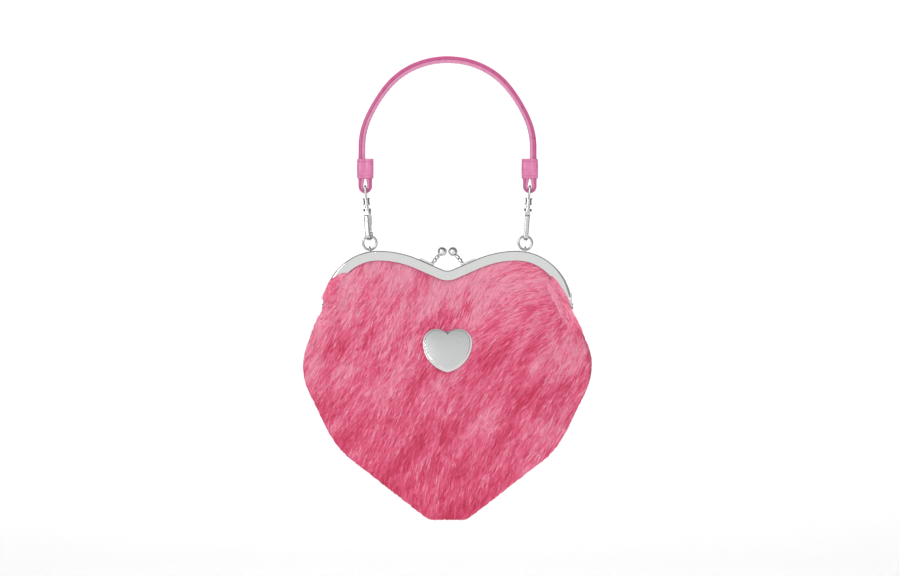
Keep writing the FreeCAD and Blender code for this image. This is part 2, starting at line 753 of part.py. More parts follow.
def make_gate(side_name, side):
    """Sprung lever that shuts the claw, with a thumb tab, and the pin and leaf that carry it."""
    place = hook_placement(side, claw_turn(side_name))
    body = new_body(f"{side_name}_hook_gate", place)
    head = size("gate_head_radius")
    outer = pivot_x + head
    inner = outer - size("gate_bar")
    foot = tip_top + size("gate_tip_gap")
    thumb_top = pivot_z - size("thumb_drop")
    thumb_foot = thumb_top - size("thumb_height")
    thumb_x = outer + size("thumb_reach")
    thumb_flat = size("thumb_height") / 4
    neck = pivot_z - head
    p = plane_point
    profile = [
        arc((pivot_x, pivot_z), head, 0, 180),
        line(p(pivot_x - head, pivot_z), p(inner, neck)),
        line(p(inner, neck), p(inner, foot)),
        line(p(inner, foot), p(outer, foot)),
        line(p(outer, foot), p(outer, thumb_foot)),
        line(p(outer, thumb_foot), p(thumb_x, thumb_top - 2 * thumb_flat)),
        line(p(thumb_x, thumb_top - 2 * thumb_flat), p(thumb_x, thumb_top - thumb_flat)),
        line(p(thumb_x, thumb_top - thumb_flat), p(outer, thumb_top)),
        line(p(outer, thumb_top), p(outer, pivot_z)),
    ]
    hole = size("gate_pin_diameter") / 2 + size("turning_clearance")
    pivot = Part.Circle(Vector(pivot_x, pivot_z, 0), Vector(0, 0, 1), hole)
    sketch = sketch_on(body, "XZ_Plane", f"{side_name}_gate_profile", [flat(e) for e in profile] + [pivot])
    body.Tip = pad(body, sketch, "Sizes.gate_width", True)
    finish(body, f"{side_name}_hook_gate")

    pin_start = Placement(Vector(pivot_x, -size("claw_thickness") / 2, pivot_z), Rotation(Vector(1, 0, 0), -90))
    pin = primitive("Cylinder", f"{side_name}_gate_pin", place.multiply(pin_start),
                    Radius="Sizes.gate_pin_diameter / 2", Height="Sizes.claw_thickness")
    finish(pin, f"{side_name}_gate_pin")

    leaf = size("spring_leaf")
    wall_x = size("body_half_width") - size("slot_depth")
    bend = pivot_z - head - leaf
    leaf_foot = body_foot + leaf
    spring = new_body(f"{side_name}_gate_spring", place)
    strip = outline_of([
        (wall_x, pivot_z), (wall_x + leaf, pivot_z), (wall_x + leaf, bend),
        (inner - leaf, leaf_foot), (inner - 2 * leaf, leaf_foot - leaf), (wall_x, bend - leaf),
    ])
    strip_sketch = sketch_on(spring, "XZ_Plane", f"{side_name}_spring_leaf", strip)
    spring.Tip = pad(spring, strip_sketch, "Sizes.gate_width - 2 * Sizes.side_clearance", True)
    finish(spring, f"{side_name}_gate_spring")


def make_ring(side_name, side):
    place = Placement(Vector(side * ring_x, hang_y, ring_z), Rotation(Vector(1, 0, 0), 90))
    ring = primitive("Torus", f"{side_name}_ring", place, Radius1="Sizes.ring_diameter / 2", Radius2="Sizes.ring_wire / 2")
    finish(ring, f"{side_name}_ring")


def make_lug(side_name, side, frame):
    """Wire staple on the back half of the frame, cut to sit on its curved top."""
    bow_radius = "Sizes.ring_wire / 2 + Sizes.lug_clearance + Sizes.lug_wire / 2"
    reach = size("ring_wire") / 2 + size("lug_clearance") + size("lug_wire") / 2
    middle = Vector(side * ring_x, hang_y, lug_z)
    arch = primitive("Torus", f"{side_name}_lug_bow", Placement(middle, Rotation(Vector(0, 1, 0), 90)),
                     Radius1=bow_radius, Radius2="Sizes.lug_wire / 2")
    corner = Placement(middle + Vector(-reach * 2, -reach * 2, 0), Rotation())
    span = f"4 * ({bow_radius})"
    upper = primitive("Box", f"{side_name}_lug_upper", corner, Length=span, Width=span, Height=span)
    half = boolean("Common", f"{side_name}_lug_arch", arch, upper)
    legs = [
        primitive("Cylinder", f"{side_name}_lug_leg_{end}",
                  Placement(middle + Vector(0, way * reach, 0), Rotation(Vector(1, 0, 0), 180)),
                  Radius="Sizes.lug_wire / 2", Height="Sizes.ring_stand + Sizes.frame_sheet / 2")
        for end, way in (("front", -1), ("back", 1))
    ]
    staple = fused(f"{side_name}_lug_staple", [half, *legs])
    finish(boolean("Cut", f"{side_name}_ring_lug", staple, frame), f"{side_name}_ring_lug")


# Mouth frame
def channel_outline(outer_radius, near, far):
    """Closed outline between two insets of the frame's line."""
    outer = whole(half_frame_line(outer_radius, near))
    inner = whole(half_frame_line(outer_radius, far))
    ends = [outer[0].StartPoint, outer[-1].EndPoint, inner[0].StartPoint, inner[-1].EndPoint]
    return [flat(e) for e in [*outer, *inner, line(ends[0], ends[2]), line(ends[1], ends[3])]]


def arm_end_x(outer_radius):
    return half_frame_line(outer_radius)[-1].EndPoint.x


def make_frame(label, side, outer_radius, hole):
    """One half: a channel along the heart's top, open towards the bag, with a hinge tab at each end."""
    body = new_body(label)
    width = size("channel_width")
    sheet_thickness = size("frame_sheet")
    near_y = closing_y + side * size("closing_gap") / 2
    front_y = min(near_y, near_y + side * width)
    blank = sketch_on(body, "XZ_Plane", f"{label}_strip",
                      channel_outline(outer_radius, 0.0, size("channel_height")), -(front_y + width))
    strip = pad(body, blank, "Sizes.channel_width")

    def top_edge(edge):
        point = edge.valueAt((edge.FirstParameter + edge.LastParameter) / 2)
        if not (flat_at_y(edge, front_y) or flat_at_y(edge, front_y + width)):
            return False
        return any(e.toShape().distToShape(Part.Vertex(point.x, 0, point.z))[0] < 1e-3
                   for e in whole(half_frame_line(outer_radius)))

    top = fillet(body, strip, "Sizes.frame_round", top_edge)
    body.Tip = top
    over = size("channel_height") + size("frame_sheet")
    hollow = sketch_on(body, "XZ_Plane", f"{label}_hollow",
                       channel_outline(outer_radius, sheet_thickness, over), -(front_y + width / 2))
    body.Tip = pocket(body, hollow, "Sizes.channel_width - 2 * Sizes.frame_sheet")

    radius = size("tab_radius")
    top_z = arm_end_z + size("tab_lap")
    edge_y = closing_y + side * size("tab_edge")
    far_y = near_y + side * (width - sheet_thickness)
    tab_x = arm_end_x(outer_radius)
    for name, way in SIDES.items():
        corners = [
            Vector(far_y, top_z, 0), Vector(edge_y, top_z, 0), Vector(edge_y, hinge_z + radius + size("tab_edge"), 0),
            Vector(closing_y - side * radius, hinge_z, 0),
        ]
        low = Vector(closing_y, hinge_z - radius, 0)
        last = Vector(closing_y + side * radius, hinge_z, 0)
        tab = [line(a, b) for a, b in zip(corners, corners[1:])]
        tab += [Part.Arc(corners[-1], low, last), line(last, corners[0])]
        tab.append(Part.Circle(Vector(closing_y, hinge_z, 0), Vector(0, 0, 1), hole))
        start = tab_x - sheet_thickness if way > 0 else -tab_x
        body.Tip = pad(body, sketch_on(body, "YZ_Plane", f"{label}_{name}_tab", tab, start), "Sizes.frame_sheet")
    return finish(body, label)


def make_rivet(side_name, side):
    """Hinge rivet through both tabs, headed at each end."""
    inside = arm_end_x(size("lobe_outer_radius")) - size("frame_sheet") - size("turning_clearance")
    outside = arm_end_x(back_lobe_radius)
    turn = Rotation(Vector(0, 1, 0), side * 90)

    def turned(name, start, radius, length):
        place = Placement(Vector(side * start, closing_y, hinge_z), turn)
        thing = primitive("Cylinder", f"{side_name}_{name}", place, Radius=radius)
        thing.Height = length
        return thing

    head = size("rivet_head_length")
    pieces = [
        turned("rivet_shank", inside, "Sizes.rivet_diameter / 2", outside - inside),
        turned("rivet_inner_head", inside - head, "Sizes.rivet_head_diameter / 2", head),
        turned("rivet_outer_head", outside, "Sizes.rivet_head_diameter / 2", head),
    ]
    finish(fused(f"{side_name}_hinge_rivet", pieces), f"{side_name}_hinge_rivet")


# Kiss-lock knobs
def make_knob(label, side, depth_side):
    """A flat foot on the slope of the frame, a beaded stem and a ball that leans over the closing line."""
    slope = math.radians(slope_of_dip())
    path = Path(half_frame_line(size("lobe_outer_radius")), -1)
    near = path.at(size("foot_start") / path.length)[0]
    mid_y = closing_y + depth_side * (size("closing_gap") + size("channel_width")) / 2
    along = Vector(side * math.cos(slope), 0, math.sin(slope))
    up = Vector(-side * math.sin(slope), 0, math.cos(slope))
    turn = Rotation(along, Vector(0, side, 0), up, "XYZ")
    corner = Vector(side * near.x, mid_y - side * size("foot_width") / 2, near.z)
    foot = primitive("Box", f"{label}_foot", Placement(corner, turn),
                     Length="Sizes.foot_length", Width="Sizes.foot_width", Height="Sizes.foot_thickness")
    root = Vector(side * near.x, mid_y, near.z) + along * (size("foot_width") / 2) + up * size("foot_thickness")
    middle = Vector(side * size("ball_half_spacing"), closing_y, dip_z + size("ball_rise"))
    way = middle - root
    stem = primitive("Cylinder", f"{label}_shaft", Placement(root, Rotation(Vector(0, 0, 1), way)),
                     Radius="Sizes.knob_stem_diameter / 2")
    stem.Height = way.Length
    beads = [
        primitive("Sphere", f"{label}_bead_{i}", Placement(root + way * share, Rotation()),
                  Radius="Sizes.knob_bead_diameter / 2")
        for i, share in enumerate(KNOB_BEAD_SHARES)
    ]
    whole_stem = fused(f"{label}_shank", [foot, stem, *beads])
    ball = primitive("Sphere", f"{label}_ball", Placement(middle, Rotation()), Radius="Sizes.ball_diameter / 2")
    finish(boolean("Cut", f"{label}_stem", whole_stem, ball), f"{label}_stem")
    finish(ball, f"{label}_ball")


def make_cord(label, side, outer_radius):
    """Paper cord that wedges the covering into the channel."""
    radius = size("cord_diameter") / 2
    inset = size("frame_sheet") + size("seam_gap") + radius
    y = closing_y + side * (size("closing_gap") + size("channel_width")) / 2
    path = Part.Wire([piece.toShape() for piece in whole(half_frame_line(outer_radius, inset, y))])
    start = path.OrderedEdges[0]
    end = start.valueAt(start.FirstParameter)
    profile = Part.Wire(Part.Circle(end, start.tangentAt(start.FirstParameter), radius).toShape())
    feature(path.makePipeShell([profile], True, True), label)


# Covering and lining
def make_panels():
    """Hide and lining, front and back; the front is parted where it flexes as the mouth opens."""
    hide = size("hide_thickness")
    lining_depth = hide + size("seat_clearance")
    lining_inset = size("seam_inset") + hide + 2 * size("seat_clearance")
    loose = size("lining_gap") - size("seat_clearance")
    hide_sizes = (hide, 0.0, size("panel_tuck"), size("seam_inset"), 0.0, size("hide_flex_gap"))
    lining_sizes = (size("lining_thickness"), lining_depth, size("lining_tuck"), lining_inset, loose,
                    size("lining_flex_gap"))
    for kind, values in (("panel", hide_sizes), ("lining", lining_sizes)):
        feature(panel_solid(1, "whole", *values), f"back_{kind}")
        feature(panel_solid(-1, "upper", *values), f"front_{kind}_upper")
    feature(panel_solid(-1, "lower", *lining_sizes), "front_lining_lower")
    unpierced = document.addObject("Part::Feature", "front_panel_unpierced")
    unpierced.Shape = panel_solid(-1, "lower", *hide_sizes)
    finish(boolean("Cut", "front_panel_lower", unpierced, prong_holes()), "front_panel_lower")
    for name, side in SIDES.items():
        feature(gusset_solid(side, lining_depth, size("seam_inset"), size("seam_inset"), hide), f"{name}_gusset")
        inner_depth = lining_depth + size("lining_thickness") + size("seam_gap")
        feature(gusset_solid(side, inner_depth, lining_inset, size("seam_inset"), size("lining_thickness")),
                f"{name}_gusset_lining")


# Ornament: a plain bevelled heart, held by two prongs through the hide and a plate behind it
def plaque_place():
    """Place on the front whose Z axis stands off the covering, at the middle of the ornament."""
    top, foot = meridian(0.0, size("panel_tuck"), size("seam_inset"))
    run = (foot - top).Length
    held = run * held_share(0.0, size("panel_tuck"), size("seam_inset"))
    wanted = hinge_z - size("plaque_drop")
    along = (top.z - wanted - held) / (run - held)
    step = 1.0 / (run - held)
    depth = half_depth(0.0, along)
    slope = half_depth(0.0, along + step) - depth
    out = Vector(0, -1, slope).normalize()
    place = Vector(0, closing_y - depth, wanted)
    return Placement(place, Rotation(Vector(1, 0, 0), out.cross(Vector(1, 0, 0)), out, "ZXY"))


def prong_cylinders(prefix, radius, length, start):
    place = plaque_place()
    pieces = []
    for name, side in SIDES.items():
        base = Placement(Vector(side * size("prong_half_spacing"), 0, start), Rotation(Vector(1, 0, 0), 180))
        pieces.append(primitive("Cylinder", f"{prefix}_{name}", place.multiply(base), Radius=radius, Height=length))
    return pieces


def prong_holes():
    radius = "Sizes.prong_diameter / 2 + Sizes.side_clearance"
    length = "2 * Sizes.hide_thickness + Sizes.plaque_stand"
    return fused("prong_holes", prong_cylinders("prong_hole", radius, length, size("hide_thickness") / 2))


def make_plaque():
    place = plaque_place()
    half = size("plaque_half_width")
    lobe_radius = size("plaque_lobe_radius")
    notch = math.sqrt(lobe_radius**2 - (half - lobe_radius) ** 2)
    tip = lobe_radius - size("plaque_height")
    side_centre = (tip**2 - half**2) / (2 * half)
    side_radius = half + side_centre
    half_turn = math.atan2(-tip, side_centre) / 2
    bulge = Vector(side_radius * math.cos(half_turn) - side_centre, -side_radius * math.sin(half_turn), 0)

    def heart(scale):
        pieces = []
        for way in (-1, 1):
            lobe = ((0.0, notch), (half - lobe_radius, lobe_radius), (half, 0.0))
            flank = ((half, 0.0), (bulge.x, bulge.y), (0.0, tip))
            for points in (lobe, flank):
                pieces.append(Part.Arc(*(Vector(way * x * scale, y * scale, 0) for x, y in points)))
        return pieces

    centre = Placement(Vector(0, -(lobe_radius + tip) / 2, size("plaque_stand")), Rotation())
    body = new_body("plaque_plate", place.multiply(centre))
    pad(body, sketch_on(body, "XY_Plane", "plaque_outline", heart(1.0)), "Sizes.plaque_thickness")
    raised = 1 - size("plaque_rim") / half
    raised_sketch = sketch_on(body, "XY_Plane", "plaque_field", heart(raised), size("plaque_thickness"))
    body.Tip = pad(body, raised_sketch, "Sizes.plaque_step")
    length = "Sizes.plaque_stand + Sizes.hide_thickness + Sizes.backing_seat + 1.5 * Sizes.backing_thickness"
    prongs = prong_cylinders("prong", "Sizes.prong_diameter / 2", length, size("plaque_stand"))
    finish(fused("plaque", [body, *prongs]), "plaque")

    depth = size("hide_thickness") + size("backing_seat") + size("backing_thickness")
    corner = Vector(-size("backing_length") / 2, -size("backing_width") / 2, -depth)
    blank = primitive("Box", "backing_blank", place.multiply(Placement(corner, Rotation())),
                      Length="Sizes.backing_length", Width="Sizes.backing_width", Height="Sizes.backing_thickness")
    holes = fused("backing_holes", prong_cylinders("backing_hole", "Sizes.prong_diameter / 2", length,
                                                   size("plaque_stand")))
    finish(boolean("Cut", "backing_plate", blank, holes), "backing_plate")


def build():
    make_strap()
    for side_name, side in SIDES.items():
        make_keeper(side_name, side)
        make_eye(side_name, side)
        make_claw(side_name, side)
        make_gate(side_name, side)
        make_ring(side_name, side)
    rivet = size("rivet_diameter") / 2
    back = make_frame("back_frame", 1, back_lobe_radius, rivet)
    make_frame("front_frame", -1, size("lobe_outer_radius"), rivet + size("turning_clearance"))
    for side_name, side in SIDES.items():
        make_rivet(side_name, side)
        make_lug(side_name, side, back)
    make_knob("front_clasp", -1, -1)
    make_knob("back_clasp", 1, 1)
    make_cord("front_frame_cord", -1, size("lobe_outer_radius"))
    make_cord("back_frame_cord", 1, back_lobe_radius)
    make_panels()
    make_plaque()


build()
document.recompute()
for thing in finished:
    if not thing.isValid() or not thing.Shape.isValid() or thing.Shape.Volume <= 0:
        raise RuntimeError(f"{thing.Label} did not build")
    print(thing.Label, round(thing.Shape.Volume, 2), len(thing.Shape.Solids))
os.makedirs("parts", exist_ok=True)
for thing in finished:
    thing.Shape.exportStep(f"parts/{thing.Label}.step")
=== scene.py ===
"""Heart shaped purse in dyed hair-on hide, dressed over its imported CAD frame. Metres, +Z up, viewer at -Y."""

import math

import bmesh
import bpy
import numpy as np
from mathutils import Matrix, Vector
from mathutils.bvhtree import BVHTree
from mathutils.kdtree import KDTree


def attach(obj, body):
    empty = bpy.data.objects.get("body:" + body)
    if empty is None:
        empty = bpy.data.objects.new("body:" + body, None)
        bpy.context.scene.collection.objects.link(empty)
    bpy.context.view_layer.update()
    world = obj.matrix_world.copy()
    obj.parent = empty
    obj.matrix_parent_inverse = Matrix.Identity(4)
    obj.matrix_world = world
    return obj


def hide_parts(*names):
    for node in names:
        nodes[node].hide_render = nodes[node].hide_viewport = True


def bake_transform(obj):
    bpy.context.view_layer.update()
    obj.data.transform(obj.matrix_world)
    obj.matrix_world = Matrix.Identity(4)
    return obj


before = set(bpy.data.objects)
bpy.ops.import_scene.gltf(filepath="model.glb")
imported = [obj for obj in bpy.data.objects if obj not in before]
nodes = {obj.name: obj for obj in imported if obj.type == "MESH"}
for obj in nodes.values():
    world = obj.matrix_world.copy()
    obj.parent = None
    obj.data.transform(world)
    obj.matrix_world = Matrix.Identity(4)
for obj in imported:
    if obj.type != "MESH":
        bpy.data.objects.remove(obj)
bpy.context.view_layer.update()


# Lining
# A cotton twill bag inside the hide, cut to the same panels and caught in the same seams.
MM = 0.001
MERGE = 1e-6
CLOSING_Y = -2.85 * MM
HINGE_Z = -168.24 * MM
LINING_DARK = (0.30, 0.045, 0.10)
LINING_LIGHT = (0.42, 0.085, 0.17)
TWILL_PITCH = 0.9 * MM
TWILL_RELIEF = 0.15 * MM
TWILL_SLANT = math.radians(45)
WAVE_PERIOD = 0.314
SIDES = ("left", "right")


def placed(name, data):
    """A new object of the scene."""
    piece = bpy.data.objects.new(name, data)
    bpy.context.scene.collection.objects.link(piece)
    return piece


def new_object(name, bm, material, smooth_angle=math.radians(40)):
    """A finished bmesh as an object of the scene, smooth except over sharp folds."""
    mesh = bpy.data.meshes.new(name)
    bm.to_mesh(mesh)
    bm.free()
    mesh.shade_smooth()
    mesh.set_sharp_from_angle(angle=smooth_angle)
    mesh.materials.append(material)
    return placed(name, mesh)


def merged_copy(node):
    """A copy of a CAD node's mesh, with its loose triangles joined."""
    bm = bmesh.new()
    bm.from_mesh(nodes[node].data)
    bmesh.ops.remove_doubles(bm, verts=bm.verts, dist=MERGE)
    return bm


def shell_copy(node, name, material, mirrored=False):
    """A copy of a CAD shell, turned front to back about the closing plane if it is mirrored."""
    bm = merged_copy(node)
    if mirrored:
        bmesh.ops.scale(bm, vec=(1, -1, 1), verts=bm.verts)
        bmesh.ops.translate(bm, vec=(0, 2 * CLOSING_Y, 0), verts=bm.verts)
        bmesh.ops.recalc_face_normals(bm, faces=bm.faces)
    return new_object(name, bm, material)


def new_material(name, **values):
    """A Principled material with plain values, its node tree and its shader."""
    material = bpy.data.materials.new(name)
    material.use_nodes = True
    tree = material.node_tree
    shader = tree.nodes["Principled BSDF"]
    for socket, value in values.items():
        shader.inputs[socket.replace("_", " ")].default_value = value
    return material, tree, shader


def add(tree, kind, inputs=(), **settings):
    """A shader node with its settings, whose inputs are linked from sockets or set to plain values."""
    node = tree.nodes.new("ShaderNode" + kind)
    for setting, value in settings.items():
        setattr(node, setting, value)
    for socket, value in dict(inputs).items():
        if isinstance(value, bpy.types.NodeSocket):
            tree.links.new(value, node.inputs[socket])
        else:
            node.inputs[socket].default_value = value
    return node


def ramp(tree, factor, stops, interpolation="LINEAR"):
    """A colour ramp through (place, colour) stops."""
    node = add(tree, "ValToRGB", {"Fac": factor})
    node.color_ramp.interpolation = interpolation
    elements = node.color_ramp.elements
    while len(elements) < len(stops):
        elements.new(0.5)
    for element, (place, colour) in zip(elements, stops):
        element.position = place
        element.color = (*colour, 1)
    return node.outputs["Color"]


def bump(tree, shader, height, strength, distance):
    """Relief on a surface, from a height that varies over it."""
    node = add(tree, "Bump", {"Height": height, "Strength": strength, "Distance": distance})
    tree.links.new(node.outputs["Normal"], shader.inputs["Normal"])


twill, tree, shader = new_material("lining_twill", Roughness=0.85, Sheen_Weight=0.25)
place = add(tree, "TexCoord").outputs["Object"]
slant = add(tree, "Mapping", {"Vector": place, "Rotation": (0, TWILL_SLANT, 0)}).outputs["Vector"]
rib = add(tree, "TexWave", {"Vector": slant, "Scale": WAVE_PERIOD / TWILL_PITCH, "Distortion": 0.6,
                            "Detail": 2.0}).outputs["Fac"]
slub = add(tree, "TexNoise", {"Vector": place, "Scale": 900.0, "Detail": 3.0}).outputs["Fac"]
weave = add(tree, "Mix", {"A": rib, "B": slub, "Factor": 0.35}).outputs["Result"]
woven = ramp(tree, weave, [(0.2, LINING_DARK), (0.8, LINING_LIGHT)])
tree.links.new(woven, shader.inputs["Base Color"])
bump(tree, shader, weave, 0.4, TWILL_RELIEF)

front_lining = shell_copy("back_lining", "front_lining", twill, mirrored=True)
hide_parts("front_lining_upper", "front_lining_lower")
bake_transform(front_lining)
linings = {node: shell_copy(node, node + "_cloth", twill)
           for node in ("back_lining", "left_gusset_lining", "right_gusset_lining")}
for node, lining in linings.items():
    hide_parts(node)
    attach(lining, "bag")

for side in SIDES:
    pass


# Hide
# Hair-on leather dyed pink through the skin, with a mottled deep pink at the roots. The front and the back
# are whole panels sewn to a gusset on each side.
SKIN_DEEP = (0.50, 0.045, 0.125)
SKIN_PALE = (0.78, 0.16, 0.29)
SKIN_LEAN = math.radians(27)
SKIN_STREAKS = (900, 900, 120)
SKIN_RELIEF = 0.4 * MM

hide, tree, shader = new_material("dyed_hide", Roughness=0.7, Sheen_Weight=0.2)
place = add(tree, "TexCoord").outputs["Object"]
lean = add(tree, "Mapping", {"Vector": place, "Rotation": (0, SKIN_LEAN, 0), "Scale": SKIN_STREAKS})
roots = add(tree, "TexNoise", {"Vector": lean.outputs["Vector"], "Scale": 1.0, "Detail": 4.0,
                               "Roughness": 0.6}).outputs["Fac"]
mottled = ramp(tree, roots, [(0.3, SKIN_DEEP), (0.7, SKIN_PALE)])
tree.links.new(mottled, shader.inputs["Base Color"])
bump(tree, shader, roots, 0.6, SKIN_RELIEF)

front_hide = shell_copy("back_panel", "front_hide", hide, mirrored=True)
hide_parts("front_panel_upper", "front_panel_lower")
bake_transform(front_hide)
skins = {"front": front_hide, "back": shell_copy("back_panel", "back_hide", hide)}
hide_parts("back_panel")

# Each gusset is drawn in by the thickness of its hair, and narrows into a tongue that ends under its hinge
DRAWN_X = 0.988
DRAWN_Z = 0.992
FOLD_START = -203 * MM
FOLD_LENGTH = 22 * MM
FOLD_TUCK = 1.6 * MM
GUSSET_TOP = FOLD_START + FOLD_LENGTH - 3 * MM
FACES_UP = 0.85

# Steps of the tongue in millimetres: how far it goes inwards and up, and the share of its width that it keeps
TONGUE_STEPS = ((-0.7, 2.3, 0.95), (-0.9, 2.9, 0.9), (-1.3, 3.6, 0.84))


def picked(geom, kind):
    """The parts of one kind, such as edges, among those that an operator made."""
    return [part for part in geom if isinstance(part, kind)]


def smooth_share(share):
    """A share from 0 to 1 that starts and stops gently."""
    return share * share * (3 - 2 * share)


def put_in_order(bm, first=()):
    """Puts the faces made after the first ones in order of their places, so that every run gives the same."""
    first = [f for f in first if f.is_valid]
    earlier = set(first)
    made = [f for f in bm.faces if f not in earlier]
    made.sort(key=lambda f: [round(c / MM, 3) for c in f.calc_center_median()])
    for i, face in enumerate(first + made):
        face.index = i
    bm.faces.sort()


for name, side in (("left", -1), ("right", 1)):
    bm = merged_copy(name + "_gusset")
    for vert in bm.verts:
        share = min(1.0, max(0.0, (vert.co.z - FOLD_START) / FOLD_LENGTH))
        vert.co.x = vert.co.x * DRAWN_X - side * FOLD_TUCK * smooth_share(share)
        vert.co.z = HINGE_Z + (vert.co.z - HINGE_Z) * DRAWN_Z
    bm.normal_update()
    first = bm.faces[:]
    end = [f for f in first if f.normal.z > FACES_UP and f.calc_center_median().z > GUSSET_TOP]
    for inward, rise, narrow in TONGUE_STEPS:
        made = bmesh.ops.extrude_face_region(bm, geom=end)["geom"]
        bmesh.ops.delete(bm, geom=end, context="FACES")
        end = picked(made, bmesh.types.BMFace)
        fresh = picked(made, bmesh.types.BMVert)
        bmesh.ops.translate(bm, vec=(side * inward * MM, 0, rise * MM), verts=fresh)
        for vert in fresh:
            vert.co.y = CLOSING_Y + (vert.co.y - CLOSING_Y) * narrow
    put_in_order(bm, first)
    skins[name] = new_object(name + "_hide", bm, hide)
    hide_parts(name + "_gusset")
for name in ("back", "left", "right"):
    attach(skins[name], "bag")


# Hair
# The hide's own coat: fine locks about a centimetre long that lie flat, down and to the left, and sweep level
# over the right lobe. Each lock is a tapered strip of one shade, laid along the skin and round its edge.
HAIR_DEEP = (0.66, 0.036, 0.108)
HAIR_MID = (0.87, 0.128, 0.268)
HAIR_PALE = (0.95, 0.36, 0.49)
HAIR_ROOT = (0.70, 0.58, 0.62)
HAIR_SHAFT = (0.96, 0.94, 0.95)
UNDER_COAT = {"length": 7.5 * MM, "width": 0.55 * MM, "lift": 0.5 * MM, "stray": 0.08, "contrast": 0.06}
GUARD_HAIR = {"length": 10.5 * MM, "width": 0.8 * MM, "lift": 0.95 * MM, "stray": 0.13, "contrast": 0.2}
PANEL_LOCKS = 67000
GUSSET_LOCKS = 34000
GUARD_SHARE = 0.45
LENGTH_SPREAD = (0.6, 1.25)
LIFT_SPREAD = (0.4, 1.3)
WIDTH_SPREAD = (0.7, 1.3)
TURN_SPREAD = (-0.5, 0.5)
LOCKS_PER_TUFT = 6
TUFT_PULL = 0.4
MIDDLE_PULL = 0.16
TUFT_CONTRAST = 0.05
ROOT_SUNK = 0.1 * MM
EDGE_OVERHANG = 0.35 * MM
EDGE_WISP = 1.7 * MM
HINGE_OVERHANG = 3.0 * MM
HINGE_REACH = 11 * MM
HINGE_INNER = 70 * MM
FRAME_DEPTH = 7 * MM
OUTWARD = 0.2
UNDERSIDE = -0.5
GUSSET_AIM = (0.0, 0.0, -0.335)
BACK_FAN = 0.18

# Streaks of shade along the coat: pitch across them, step along the hair, and number of steps
FINE_STREAK = (2.0 * MM, 1.6 * MM, 8)
BROAD_STREAK = (9 * MM, 5 * MM, 6)
BROAD_SHIFT = 0.3
ACROSS_AND_UP = (0, 2)
ALONG_AND_UP = (1, 2)

# Combing of the front: place across and up in millimetres, and the slope in degrees of hair that runs down
# and to the left
FRONT_COMBING = np.array([
    (-81, -157, 65), (-81, -219, 58), (-54, -143, 66), (-33, -185, 68), (-5, -157, 72), (22, -164, 78),
    (34, -152, 58), (50, -147, 15), (71, -154, 10), (50, -168, 25), (67, -168, 20), (36, -178, 36),
    (64, -181, 36), (88, -178, 58), (92, -195, 62), (64, -206, 50), (36, -212, 55), (2, -233, 62),
    (-33, -247, 65), (-61, -254, 60), (50, -247, 60), (78, -233, 58), (2, -282, 75), (-12, -302, 80),
    (16, -302, 75), (36, -275, 65),
])
COMBING_BLUR = 30

streak_table = np.random.default_rng(5).random((128, 128))


def lattice_noise(points, pitch):
    """Smooth noise from 0 to 1 at places in a plane, from a square table of random numbers."""
    cell = points / pitch
    low = np.floor(cell).astype(int)
    part = smooth_share(cell - low)
    span = len(streak_table)
    i, j = (low % span).T
    right, above = (i + 1) % span, (j + 1) % span
    near = streak_table[i, j] * (1 - part[:, 0]) + streak_table[right, j] * part[:, 0]
    far = streak_table[i, above] * (1 - part[:, 0]) + streak_table[right, above] * part[:, 0]
    return near * (1 - part[:, 1]) + far * part[:, 1]


def sloped(slope):
    """Ways down and to the left at slopes from the level."""
    return np.stack([-np.cos(slope), np.zeros(len(slope)), -np.sin(slope)], axis=1)


def combed_front(points):
    """The way the front's hair runs, from the nearest combing marks."""
    gap = points[:, None, [0, 2]] / MM - FRONT_COMBING[None, :, :2]
    weight = 1 / (np.sum(gap**2, axis=2) + COMBING_BLUR) ** 1.5
    return sloped(np.radians((weight @ FRONT_COMBING[:, 2]) / weight.sum(axis=1)))


def combed_back(points):
    """The back's hair runs down from the frame and fans out a little to both sides."""
    return sloped(np.radians(90 + points[:, 0] / MM * BACK_FAN))


def combed_gusset(points):
    """The gussets' hair runs round the heart towards its tip."""
    way = np.array(GUSSET_AIM) - points
    way[:, 1] = 0
    return way / np.linalg.norm(way, axis=1)[:, None]


def streaked(root, combing, streak, plane):
    """Noise smeared along the run of the hair, so it forms long soft streaks."""
    pitch, step, steps = streak
    traced = root.copy()
    total = np.zeros(len(root))
    for _ in range(steps):
        total += lattice_noise(traced[:, plane], pitch) / steps
        traced -= combing(traced) * step
    return total


def sampled(skin, count, facing, rng):
    """Random places on the faces of a skin that look one way, with their normals."""
    mesh = skin.data
    mesh.calc_loop_triangles()
    corners = np.empty(len(mesh.loop_triangles) * 3, int)
    mesh.loop_triangles.foreach_get("vertices", corners)
    corners = corners.reshape(-1, 3)
    places = np.empty(len(mesh.vertices) * 3)
    mesh.vertices.foreach_get("co", places)
    a, b, c = (places.reshape(-1, 3)[corners[:, k]] for k in range(3))
    normal = np.cross(b - a, c - a)
    area = np.linalg.norm(normal, axis=1)
    normal /= np.maximum(area, 1e-15)[:, None]
    area = area * facing(normal, (a + b + c) / 3)
    chosen = rng.choice(len(area), size=count, p=area / area.sum())
    share = np.sqrt(rng.random(count))[:, None]
    other = rng.random(count)[:, None]
    root = a[chosen] * (1 - share) + b[chosen] * share * (1 - other) + c[chosen] * share * other
    return root, normal[chosen]


def searched(meshes):
    """One search tree over the faces of several meshes."""
    corners, faces = [], []
    for mesh in meshes:
        first = len(corners)
        corners += [v.co for v in mesh.vertices]
        faces += [[first + i for i in p.vertices] for p in mesh.polygons]
    return BVHTree.FromPolygons(corners, faces)


whole_skin = searched([skin.data for skin in skins.values()])


